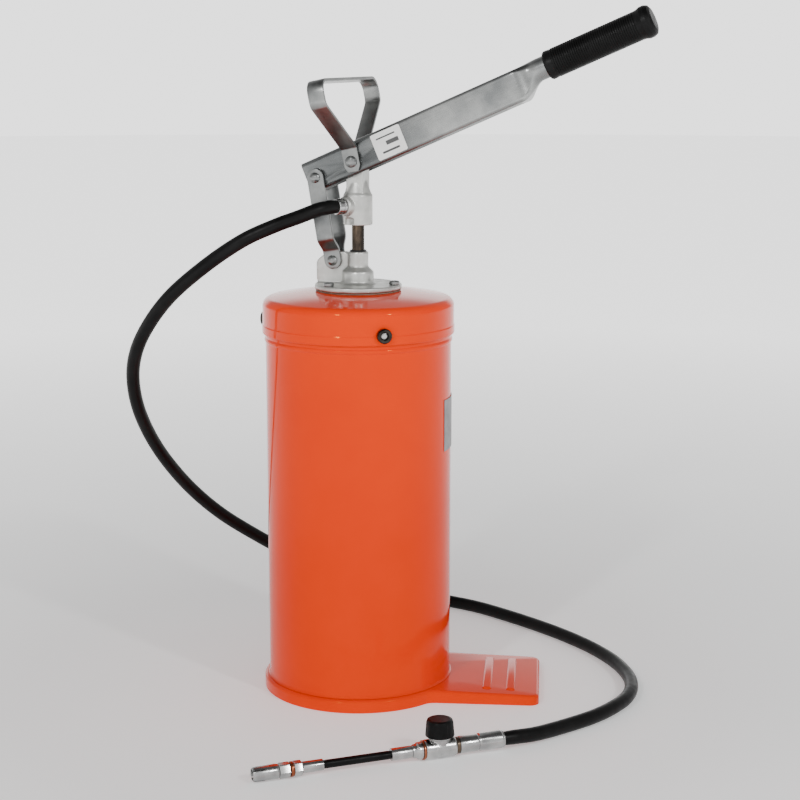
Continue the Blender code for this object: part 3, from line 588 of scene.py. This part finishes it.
def plate_outline(inset):
    """Outline of the foot plate in mm: a disc with a tab to stand on, moved inwards by inset."""
    disc, reach, half = PLATE_RADIUS - inset, TAB_REACH - inset, TAB_HALF_WIDTH - inset
    corner, fillet = 9 - inset, 14 + inset
    centre_y = half + fillet
    centre_x = math.sqrt((disc + fillet) ** 2 - centre_y**2)
    meet = math.degrees(math.atan2(centre_y, centre_x))
    points = arc(centre_x, -centre_y, fillet, 180 - meet, 90, 8)
    points += arc(reach - corner, -half + corner, corner, -90, 0, 8)
    points += arc(reach - corner, half - corner, corner, 0, 90, 8)
    points += arc(centre_x, centre_y, fillet, 270, 180 + meet, 8)
    points += arc(0, 0, disc, meet, 360 - meet, 110)[1:-1]
    return points


def make_foot_plate():
    """A pressed sheet: its skirt, its top, a dished middle, and back along the underside."""

    def ring(inset, height):
        fall = TAB_FALL if height > PLATE_TOP / 2 else 0
        return [(x, y, height - fall * max(0.0, x - PLATE_RADIUS)) for x, y in plate_outline(inset)]

    def circle(radius, height):
        return [(*(Vector(point).normalized() * radius), height) for point in plate_outline(0)]

    rounding, sheet = 3.5, 2
    rows = [ring(0, 0.2), ring(0, PLATE_TOP - rounding)]
    for turn in (15, 30, 45, 60, 75, 90):
        angle = math.radians(turn)
        inset = rounding * (1 - math.cos(angle))
        rows.append(ring(inset, PLATE_TOP - rounding * (1 - math.sin(angle))))
    rows += [circle(86, PLATE_TOP), circle(61, PLATE_TOP), circle(59, PLATE_TOP - 1)]
    rows += [circle(53, 3), circle(51, 2)]
    under = [circle(51, 0), circle(55, 2), circle(60, PLATE_TOP - sheet), circle(86, PLATE_TOP - sheet)]
    under += [ring(sheet + 1.5, PLATE_TOP - sheet), ring(sheet, PLATE_TOP - rounding), ring(sheet, 0.2)]
    shape = bmesh.new()
    loops = [[shape.verts.new(Vector(point) * MM) for point in row] for row in rows + under]
    count = len(loops[0])
    dish_top, dish_under = len(rows) - 1, len(rows)
    for i, (low, high) in enumerate(zip(loops, loops[1:] + loops[:1])):
        if i == dish_top:
            continue
        for k in range(count):
            shape.faces.new((low[k], low[(k + 1) % count], high[(k + 1) % count], high[k]))
    shape.faces.new(loops[dish_top])
    shape.faces.new(loops[dish_under])
    place = Matrix.Rotation(math.radians(TAB_ANGLE), 4, "Z")
    mesh = new_mesh("base_plate_look", shape)
    add("base_plate_look", mesh, "orange_paint", "tank", place, ["base_plate"])
    for number, reach in enumerate((129, 152)):
        rib = brick(9, 92, 5, 2.2)
        fall = TAB_FALL * (reach - PLATE_RADIUS)
        at = polar(reach * MM, TAB_ANGLE, (PLATE_TOP - fall - 1.0) * MM)
        add(f"tread_rib_{number}", rib, "orange_paint", "tank", Matrix.Translation(at) @ place)


def lid_screw_place(number):
    """The direction from the drum's axis out through a lid screw, and the screw's height."""
    low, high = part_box(f"lid_screw_{number}")
    return ((low + high) / 2 * Vector((1, 1, 0))).normalized(), (low.z + high.z) / 2


def make_drum():
    drum_low, drum_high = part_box("drum_shell")
    radius, sheet = DRUM_RADIUS, 1.5
    floor, top = drum_low.z / MM, drum_high.z / MM
    inner = radius - sheet
    bead = arc(radius - 1.8, 349, 3, 53, -53, 10)
    profile = [(0, floor + sheet), (inner - 3, floor + sheet), (inner, floor + 4.5), (inner, top)]
    profile += [(radius, top)] + bead
    profile += [(radius, floor + 2.4), (radius + 0.5, floor + 0.9), (radius + 1.7, floor), (0, floor)]
    mesh = lathe("drum_shell_look", profile, 160, 0.5)
    add("drum_shell_look", mesh, "orange_paint", "tank", stands_for=["drum_shell"])


def make_label():
    radius, low, high = DRUM_RADIUS, 243.6, 293.7
    near, far = radius + 0.3, radius + 0.7
    first, pitch, count = -5, 1.5, 33
    label = []
    for i in range(count):
        corners = ((near, low), (far, low), (far, high), (near, high))
        label.append([polar(r * MM, first + pitch * i, z * MM) for r, z in corners])
    add("drum_label_look", loft("drum_label_look", label), "label_foil", "tank", stands_for=["drum_label"])


def make_lid():
    lid = [(20.5, 395.5), (46, 395.5)] + arc(84.7, 381.5, 8, 81, 0, 12)
    lid += [(92.7, 364), (93.2, 362.8), (93.2, 356), (92.6, 355), (91.4, 355)]
    lid += [(91.4, 381.5)] + arc(84.7, 381.5, 6.7, 12, 81, 8) + [(46, 394.2), (20.5, 394.2)]
    mesh = lathe("lid_look", lid, 160, 0.4)
    holes = []
    for number in (1, 2, 3):
        outward, _ = lid_screw_place(number)
        holes.append((pin(3.4, 24), along(outward * 88 * MM + Vector((0, 0, 364.5 * MM)), outward)))
    mesh = carved(mesh, *holes)
    add("lid_look", mesh, "orange_paint", "tank", stands_for=["lid"])


def make_screws():
    """The lid's screws, each a dark ring round a bright core, and the flange's screws with hollow heads."""
    ring = [(3.5, 2.2), (3.7, 5), (6, 5), (7, 3.9), (7, 0), (3.5, 0)]
    core = [(0, 3.2), (1.6, 3.3), (3.3, 2.9), (3.3, 0), (2.9, 0), (2.9, -14), (0, -14)]
    for number in (1, 2, 3):
        outward, height = lid_screw_place(number)
        seat = along(outward * 93.3 * MM + Vector((0, 0, height)), outward)
        mesh = lathe(f"lid_screw_{number}_look", ring, 48, 0.7)
        add(f"lid_screw_{number}_look", mesh, "black_steel", "tank", seat, [f"lid_screw_{number}"])
        mesh = lathe(f"lid_screw_{number}_core", core, 40, 0.5)
        add(f"lid_screw_{number}_core", mesh, "plated", "tank", seat)
    head = [(0, 1.6), (2.4, 1.6), (2.6, 3.6), (4.2, 3.6), (5, 2.8), (5, 0), (2.6, 0), (2.6, -14), (0, -14)]
    for number in (1, 2, 3):
        low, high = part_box(f"flange_screw_{number}")
        middle = (low + high) / 2
        seat = Matrix.Translation((middle.x, middle.y, high.z - 3.5 * MM))
        mesh = lathe(f"flange_screw_{number}_look", head, 40, 0.4)
        add(f"flange_screw_{number}_look", mesh, "zinc_strip", "tank", seat, [f"flange_screw_{number}"])


# Pump body and head ---------------------------------------------------------------------------------------
PORT_ANGLE = 238
PORT_HEIGHT = HOSE_ROUTE[0][2]


def make_pump_body():
    top, flange_top, base = 433, 402, 397
    profile = [(0, top), (9.8, top), (9.8, 418.5), (14.6, 414), (15, 412), (15, flange_top + 2)]
    profile += [(17.5, flange_top), (42, flange_top), (42, base), (20, base), (20, 380), (0, 380)]
    turned = lathe("turned", profile, 120, 1.2)
    outline = rounded(
        [(-41.5, 400), (-9, 400), (-9, top - 3), (-12, top - 0.5), (-30, top - 0.5), (-41.5, top - 10)], 7, 6
    )
    lug = slab("lug", outline, 9, upright=True)
    here = Matrix()
    body = cast_body(joined("pump_flange_look", (turned, here), (lug, here)), 0.7, 5)
    holes = [
        (pin(8, 60), raised(401)),
        (pin(6.6, 30), raised(432)),
        (pin(17.3, 13.3, 48), raised(386.5)),
        (pin(LINK_BORE, 30), along(LUG_PIN, (0, 1, 0))),
    ]
    for number in (1, 2, 3):
        low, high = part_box(f"flange_screw_{number}")
        middle = (low + high) / 2
        holes.append((pin(3, 20), Matrix.Translation((middle.x, middle.y, 400 * MM))))
    add("pump_flange_look", carved(body, *holes), "cast_alloy", "tank", stands_for=["pump_flange"], sharp=50)
    rod = lathe("piston_rod_look", [(2.5, 474.4), (6, 474.4), (6, 334.7), (2.5, 334.7)], 48, 0.4)
    add("piston_rod_look", rod, "dark_steel", "head", stands_for=["piston_rod"])
    collar = [(6.3, 433.2), (6.3, 434.4), (7.6, 434.4), (8, 433.9), (8, 433.2)]
    add("rod_wiper", lathe("rod_wiper", collar, 48, 0.2), "seal_rubber", "tank")


def make_pump_head():
    port = polar(1, PORT_ANGLE)
    body = lathe("body", [(0, 492), (11, 492), (14, 487), (14, 459), (13.4, 458.6), (0, 458.6)], 96, 1)
    crown = LEVER_PIVOT.z / MM
    outline = [(-8.5, 488), (8.5, 488)] + arc(0, crown, 8.5, 0, 180, 24)
    ear = slab("ear", outline, 19, upright=True)
    boss = lathe("boss", [(0, 17.5), (8.2, 17.5), (9.5, 16.2), (9.5, 6), (10.5, 0), (0, 0)], 64, 1)
    ridge = lathe("ridge", [(0, 500), (9.5, 500), (12.5, 489), (0, 485)], 64, 1)
    here = Matrix()
    at_port = along((0, 0, PORT_HEIGHT * MM), port)
    shapes = joined("pump_head_look", (body, here), (ear, here), (ridge, here), (boss, at_port))
    mesh = cast_body(shapes, 0.55, 5)
    across = along(LEVER_PIVOT, (0, 1, 0))
    pocket = brick(16, 11, 17, 2.5)
    pocket_angle = PORT_ANGLE + 14
    below = Matrix.Translation(polar(17.5 * MM, pocket_angle, 458 * MM))
    below @= Matrix.Rotation(math.radians(pocket_angle), 4, "Z")
    mesh = carved(
        mesh,
        (pin(6.3, 50), raised(450)),
        (pin(PIVOT_BORE, 40), across),
        (pin(4.5, 20), along(polar(15 * MM, PORT_ANGLE, PORT_HEIGHT * MM), port)),
        (pocket, below),
    )
    add("pump_head_look", mesh, "cast_alloy", "head", stands_for=["pump_head"], sharp=50)
    sleeve = lathe("oily_sleeve", [(6.35, 473), (8.6, 473), (8.6, 460.5), (6.35, 460.5)], 48, 0.3)
    add("oily_sleeve", sleeve, "oil", "head")
    ferrule = [(2.6, 26.9), (7.2, 26.9), (7.75, 26.2), (7.75, 21.4), (7.2, 20.8), (7.2, 20.2), (7.75, 19.6)]
    ferrule += [(7.75, 18.1), (4.2, 18.1), (4.2, 10), (2.6, 10)]
    mesh = lathe("hose_ferrule_inlet_look", ferrule, 56, 0.25)
    add("hose_ferrule_inlet_look", mesh, "plated", "head", at_port, ["hose_ferrule_inlet"])
    rivet = domed_pin(21.2, 4, 5.6, 18.9)
    add("head_pivot_pin_look", rivet, "zinc_strip", "head", across, ["head_pivot_pin"])


def domed_pin(end, shank, head, seat):
    """A rivet along Z, the same at both ends, in mm."""
    half = [(0, end + 1.4), (head * 0.45, end + 1.1), (head * 0.8, end), (head, seat + 0.6), (head, seat)]
    half += [(shank, seat)]
    profile = half + [(radius, -height) for radius, height in half[::-1]]
    return lathe("domed_pin", profile, 48, 0.35)


# Lever, link and carrying handle --------------------------------------------------------------------------
LEVER_TILT = 23.3
LEVER = Matrix.Translation(LEVER_PIVOT) @ Matrix.Rotation(math.radians(-LEVER_TILT), 4, "Y")
LINK_ARM = 40
TUBE_RADIUS = 10.5
TUBE_HEIGHT = 9


def lever_section(u, half_width, top, bottom, corner):
    """A rounded rectangle across the lever, in mm, at the distance u from its pivot."""
    points = []
    for x, y, start in (
        (half_width, top, 0), (-half_width, top, 90), (-half_width, bottom, 180), (half_width, bottom, 270)
    ):
        centre_x = x - math.copysign(corner, x)
        centre_y = y - corner if start < 180 else y + corner
        points += arc(centre_x, centre_y, corner, start, start + 90, 10)
    return [(u * MM, across * MM, height * MM) for across, height in points]


def eased(value):
    """A value from 0 to 1 with a soft start and a soft end."""
    value = min(1.0, max(0.0, value))
    return value * value * (3 - 2 * value)


def make_lever():
    """A channel open below, pressed into a round tube for the grip."""
    full, corner = (15.0, 17.6, -13.0), 4.0
    tube_end = (TUBE_RADIUS, TUBE_HEIGHT + TUBE_RADIUS, TUBE_HEIGHT - TUBE_RADIUS)
    tube_corner = TUBE_RADIUS * 0.99
    rear, shoulder, neck, front = -50, 174, 23, 304
    neck_steps, deepest_pinch = 16, 2.4
    sections = [lever_section(u, *full, corner) for u in (rear, 60, 120, shoulder - 8)]
    for step in range(neck_steps + 1):
        t = step / neck_steps
        share = eased(t)
        size = [a + (b - a) * share for a, b in zip(full, tube_end)]
        size[0] -= deepest_pinch * math.sin(math.pi * t) ** 2
        sections.append(lever_section(shoulder + neck * t, *size, corner + (tube_corner - corner) * share))
    sections.append(lever_section(front, *tube_end, tube_corner))
    mesh = loft("lever_channel_look", sections)
    web, hollow_height = 2.5, 60
    hollow = brick(232, 25, hollow_height, 1.5)
    slot = arc(3.2, 0, 5.2, -90, 90, 12) + arc(-3.2, 0, 5.2, 90, 270, 12)
    mesh = carved(
        mesh,
        (hollow, Matrix.Translation(Vector((56, 0, full[1] - web - hollow_height / 2)) * MM)),
        (pin(PIVOT_BORE, 40), along((0, 0, 0), (0, 1, 0))),
        (slab("slot", slot, 40, True), Matrix.Translation((-LINK_ARM * MM, 0, 0))),
    )
    mesh = modified(
        mesh,
        ("BEVEL", {"width": 0.35 * MM, "segments": 2, "limit_method": "ANGLE"}),
        ("WELD", {"merge_threshold": 0.02 * MM}),
    )
    add("lever_channel_look", mesh, "zinc_plate", "lever", LEVER, ["lever_channel"])
    make_grip()
    make_sticker(-full[0] - 0.5)


def make_sticker(side):
    """A blank label with three plain bars, a little off the lever's side."""
    sticker = slab("inspection_sticker_look", oblong(31, 25, 2, 5), 0.3, upright=True)
    place = LEVER @ Matrix.Translation(Vector((41, side, 2.5)) * MM)
    add("inspection_sticker_look", sticker, "white_label", "lever", place, ["inspection_sticker"])
    for number, (across, up, length, thick) in enumerate(((-1, 7, 20, 1.4), (4, 0.5, 13, 4), (0, -7, 18, 2))):
        bar = slab("bar", oblong(length, thick, 0.5), 0.1, True)
        at = place @ Matrix.Translation(Vector((across, -0.22, up)) * MM)
        add(f"sticker_bar_{number}", bar, "print", "lever", at)


def make_grip():
    """A rubber sleeve with fine rings and a thick closed end."""
    length, radius, bore = 105.4, 13.6, TUBE_RADIUS + 0.2
    profile = [(0, length), (10.6, length), (13.6, length - 1.6), (15, length - 5), (15, length - 9)]
    profile += [(13.9, length - 12)]
    pitch = 2.1
    rings = int((length - 20) / pitch)
    for i in range(rings):
        at = length - 14 - i * pitch
        profile += [(radius, at), (radius, at - pitch * 0.55), (radius - 0.5, at - pitch * 0.7)]
        profile += [(radius - 0.5, at - pitch * 0.88)]
    profile += [(radius, 4), (radius, 1.5), (12.6, 0), (bore, 0), (bore, length - 5), (0, length - 5)]
    mesh = lathe("hand_grip_look", profile, 72, 0.25)
    place = LEVER @ along(Vector((204.8, 0, TUBE_HEIGHT)) * MM, (1, 0, 0))
    add("hand_grip_look", mesh, "black_rubber", "lever", place, ["hand_grip"], sharp=60)


def bent_strip(name, rows, thickness, edge):
    """A bent flat strip. A row is its centre and its half width along X, in mm."""
    shape = bmesh.new()
    lines = []
    for centre, half in rows:
        lines.append([shape.verts.new((Vector(centre) + Vector((x, 0, 0))) * MM) for x in (-half, half)])
    for near, far in zip(lines, lines[1:]):
        shape.faces.new((near[0], near[1], far[1], far[0]))
    sheet = {"thickness": thickness * MM, "offset": 0, "use_even_offset": True}
    bevel = {"width": edge * MM, "segments": 3, "limit_method": "ANGLE", "angle_limit": math.radians(50)}
    return modified(new_mesh(name, shape), ("SOLIDIFY", sheet), ("BEVEL", bevel))


def make_link():
    """Two cranked plates and their pins, from the flange's lug up to the lever's short arm."""
    arm = polar(LINK_ARM * MM, 180 + LEVER_TILT)
    top = LEVER_PIVOT + Vector((arm.x, 0, arm.y))
    run = top - LUG_PIN
    length = run.length / MM
    lean = math.atan2(run.x, run.z)
    place = Matrix.Translation(LUG_PIN) @ Matrix.Rotation(lean, 4, "Y")
    low, high, radius = 6.6, 17.1, 8.25

    def offset(t):
        """Distance of a plate from the middle: close beside the lug, then out to the lever's sides."""
        return low + (high - low) * eased((t - 9) / 14)

    def round_end(centre, first, last):
        turns = [math.radians(degrees) for degrees in range(first, last, -8)]
        return [(centre + radius * math.cos(a), radius * math.sin(a)) for a in turns]

    rows = round_end(0, 172, 90)
    rows += [(t, radius) for t in (0, 5, 9, 11, 13, 15, 17, 19, 21, 23, 26, 40, 60, length)]
    rows += round_end(length, 82, 4)
    for name, way in (("link_plate_front", -1), ("link_plate_rear", 1)):
        mesh = bent_strip(f"{name}_look", [((0, way * offset(t), t), half) for t, half in rows], 3, 0.5)
        centres = [Vector((0, way * offset(t), t)) * MM for t in (0, length)]
        holes = [(pin(LINK_BORE, 12), along(centre, (0, 1, 0))) for centre in centres]
        mesh = modified(carved(mesh, *holes), ("WELD", {"merge_threshold": 0.05 * MM}))
        add(f"{name}_look", mesh, "zinc_strip", "link", place, [name])
    for name, t in (("link_lug_pin", 0), ("link_lever_pin", length)):
        seat = offset(t) + 1.8
        mesh = domed_pin(seat + 1.6, 3, 5, seat)
        add(f"{name}_look", mesh, "zinc_strip", "link", place @ along((0, 0, t * MM), (0, 1, 0)), [name])


def make_carry_handle():
    """A strip bent to a wide bow, with narrower ends on the head's pin."""
    inner, outer, corner, top = 16.8, 75, 11, 77
    half_width, taper, taper_from, tilt = 8, 3.5, -4, 11.4
    low, high = Vector((-inner, 13)), Vector((-outer, 55))
    half = [(-inner, -10), (-inner, -4), (-inner, 2), (-inner, 8)]
    half += rounded([(-inner, 8), tuple(low), tuple(high), (-outer, top - corner)], 9, 8, closed=False)[1:-1]
    half += arc(-outer + corner, top - corner, corner, 180, 90, 12)
    path = half + [(-y, z) for y, z in half[::-1]]
    rows = [((0, y, z), half_width - taper * eased((taper_from - z) / 8)) for y, z in path]
    mesh = bent_strip("carry_handle_look", rows, 3, 0.6)
    mesh = carved(mesh, (pin(PIVOT_BORE, 60), along((0, 0, 0), (0, 1, 0))))
    place = Matrix.Translation(LEVER_PIVOT) @ Matrix.Rotation(math.radians(-tilt), 4, "Y")
    add("carry_handle_look", mesh, "zinc_strip", "handle", place, ["carry_handle"])


# Shut-off valve and nozzle --------------------------------------------------------------------------------
TOWER = Vector((61, 0, 0)) * MM


def line_piece(node, profile, look="plated", steps=64, rounding=0.3, ripple=None, sharp=SHARP):
    """A turned piece on the line of fittings. Its profile is (distance along the line, radius), in mm."""
    mesh = lathe(f"{node}_look", [(radius, t) for t, radius in profile], steps, rounding, ripple)
    return add(f"{node}_look", mesh, look, "tank", TURNED_ON_LINE, [node], sharp)


def crimped(angle, height):
    """A hose ferrule pressed to eight flats over its crimped stretch."""
    press = eased((height - 3) / 1.5) * eased((24 - height) / 1.5)
    return 1 - 0.055 * press * (0.5 - 0.5 * math.cos(8 * angle))


def hexagon(angle, height):
    """The radius of a hexagon with a flat at angle 0, over the radius of the circle inside it."""
    side = (angle + math.pi / 6) % (math.pi / 3) - math.pi / 6
    return 1 / math.cos(side)


def make_fittings():
    ferrule = [(43.2, 3), (43.2, 7.9), (26, 7.9), (24.8, 7.2), (23.4, 8.3), (3, 8.3), (1.6, 7.7)]
    ferrule += [(0.3, 7.7), (0.3, 3)]
    line_piece("valve_ferrule", ferrule, ripple=crimped, sharp=20)
    line_piece("valve_inlet_ring", [(46.6, 3), (46.6, 7.7), (43.5, 7.7), (43.5, 3)], "dark_steel")
    make_valve()
    line_piece("valve_washer", [(78.3, 3), (78.3, 8.9), (76.7, 8.9), (76.7, 3)], "copper")
    adapter = [(88, 2.2), (88, 5.4), (86.4, 6.2), (84, 6.6), (82.6, 7.7), (78.6, 7.7), (78.6, 2.2)]
    line_piece("nozzle_hose_adapter", adapter)
    line_piece("nozzle_hose_ferrule_upper", [(107.7, 2.2), (107.7, 5.6), (88.3, 5.6), (88.3, 2.2)])
    line_piece("nozzle_hose_ferrule_lower", [(189.6, 2.2), (189.6, 5.2), (170.7, 5.2), (170.7, 2.2)])
    for node, start, end in (("nozzle_lock_nut", 189.9, 197.9), ("nozzle_adapter", 200.9, 211.2)):
        profile = [(end, 2.2), (end, 5.4), (end - 0.7, 6.2), (start + 0.7, 6.2), (start, 5.4), (start, 2.2)]
        line_piece(node, profile, ripple=hexagon, sharp=20)
    line_piece("nozzle_washer", [(200.6, 2.2), (200.6, 6.9), (198.2, 6.9), (198.2, 2.2)], "copper")
    mouth = [(4.7, 234.7), (5.8, 234.7), (6.5, 233.4), (6.8, 229), (6.8, 214), (6.3, 211.5), (2.2, 211.5)]
    mouth += [(2.2, 217), (4.7, 219)]
    mesh = lathe("nozzle_coupler_look", mouth, 72, 0.3)
    slits = []
    for number in range(2):
        turn = Matrix.Rotation(math.radians(45 + 90 * number), 4, "Z")
        slits.append((brick(1.1, 30, 13), turn @ Matrix.Translation((0, 0, 231 * MM))))
    add("nozzle_coupler_look", carved(mesh, *slits), "plated", "tank", TURNED_ON_LINE, ["nozzle_coupler"])


def make_valve():
    body = lathe("body", [(0, 76.4), (8.3, 76.4), (9.1, 75.4), (9.1, 48), (8.3, 46.9), (0, 46.9)], 72, 0.5)
    tower = lathe("tower", [(0, 11.4), (10.6, 11.4), (10.6, 9.6), (8, 9.2), (8, 0), (0, 0)], 64, 0.4)
    upright = along(TOWER, (0, 0, 1))
    shapes = joined("valve_body_look", (body, along((0, 0, 0), (1, 0, 0))), (tower, upright))
    mesh = cast_body(shapes, 0.45, 3)
    mesh = carved(
        mesh,
        (pin(3, 60), along(TOWER, (1, 0, 0))),
        (pin(5.4, 12), upright),
        (pin(2.3, 30), upright),
    )
    add("valve_body_look", mesh, "plated", "tank", LINE, ["valve_body"], sharp=50)
    knob = [(0, 27.2), (9.5, 27.5), (11.4, 26.8), (12.2, 24.5), (12.7, 18), (13.2, 12.4), (12.8, 12)]
    knob += [(2.3, 12), (2.3, 14.3), (0, 14.3)]
    mesh = lathe("valve_knob_look", knob, 120, 0.4, ripple=knob_ribs)
    base = Matrix.Translation(LINE @ TOWER) @ LINE.to_3x3().to_4x4()
    add("valve_knob_look", mesh, "black_plastic", "knob", base, ["valve_knob"], sharp=40)


def knob_ribs(angle, height):
    """Finger grooves round the knob's side."""
    side = eased((height - 12.2) / 1.5) * eased((26.6 - height) / 2)
    return 1 - 0.045 * side * max(0.0, math.cos(10 * angle)) ** 3


# Stage ----------------------------------------------------------------------------------------------------
def area_light(name, place, target, size, power):
    data = bpy.data.lights.new(name, "AREA")
    data.shape = "RECTANGLE"
    data.size, data.size_y = size
    data.energy = power
    light = bpy.data.objects.new(name, data)
    bpy.context.scene.collection.objects.link(light)
    light.location = place
    light.rotation_euler = (Vector(target) - Vector(place)).to_track_quat("-Z", "Y").to_euler()


def make_floor():
    """A pale floor that glows more the farther out it is, so that its edge comes close to the backdrop."""
    shape = bmesh.new()
    bmesh.ops.create_circle(shape, cap_ends=True, segments=64, radius=12)
    floor = bpy.data.objects.new("floor", new_mesh("floor", shape))
    floor.location.z = -0.0002
    bpy.context.scene.collection.objects.link(floor)
    nodes = Nodes("floor")
    tone = nodes.ramp(nodes.noise(3, detail=2), 0.3, 0.7)
    roughness = nodes.ramp(nodes.noise(8, detail=2), 0.3, 0.7, 0.7, 0.8)
    white = nodes.finish(nodes.mix(tone, (0.90, 0.90, 0.90), (0.93, 0.93, 0.93)), roughness)
    nodes.link(nodes.ramp(nodes.reach(), 0.35, 2.4, 0.32, 1.5), nodes.shader.inputs["Emission Strength"])
    nodes.shader.inputs["Emission Color"].default_value = (1, 1, 1, 1)
    floor.data.materials.append(white)


def make_studio():
    """Soft light from the camera's side and low behind the object, dimmer overhead."""
    world = bpy.data.worlds.new("studio")
    bpy.context.scene.world = world
    sky = Tree(world)
    direction = sky.coordinates["Generated"]
    split = sky.node("ShaderNodeSeparateXYZ")
    sky.link(direction, split.inputs["Vector"])
    facing = sky.node("ShaderNodeVectorMath", operation="DOT_PRODUCT")
    facing.inputs[1].default_value = (math.sin(FRONT), -math.cos(FRONT), 0)
    sky.link(direction, facing.inputs[0])
    to_camera, height = facing.outputs["Value"], split.outputs["Z"]
    front = sky.ramp(to_camera, 0.45, 0.8, 0.62, 1.2, "SMOOTHSTEP")
    back = sky.ramp(to_camera, -0.75, -0.93, 0, 1, "SMOOTHSTEP")
    low_band = sky.ramp(height, 0.38, 0.22, 0, 1.6, "SMOOTHSTEP")
    open_sky = sky.ramp(height, 0.62, 0.88, 1, 0.2, "SMOOTHSTEP")
    before, behind = sky.combined("MULTIPLY", front, open_sky), sky.combined("MULTIPLY", back, low_band)
    background = sky.tree.nodes["Background"].inputs
    sky.link(sky.combined("ADD", before, behind), background["Strength"])
    background["Color"].default_value = (1, 1, 1, 1)


def make_lights():
    """Two small boxes, one on each side of the camera, for the bright lines on the drum."""
    distance, height, size, power = 2.3, 1.6, (0.13, 0.28), 17
    for name, azimuth in (("left_box", -6), ("right_box", 59)):
        angle = math.radians(azimuth)
        place = (distance * math.sin(angle), -distance * math.cos(angle), height)
        area_light(name, place, (0, 0, 0.33), size, power)


make_foot_plate()
make_drum()
make_lid()
make_label()
make_screws()
make_pump_body()
make_pump_head()
make_lever()
make_link()
make_carry_handle()
make_fittings()
make_floor()
make_studio()
make_lights()

# The rest of the CAD nodes keep their shape and take a finish from their slot.
for part in frame["record"]["subparts"]:
    node = frame["nodes"][part["node"]]
    if not node.hide_render:
        node.data.materials.clear()
        node.data.materials.append(LOOKS[part["material_slot"]])
        node.data.shade_smooth()
        node.data.set_sharp_from_angle(angle=math.radians(SHARP))
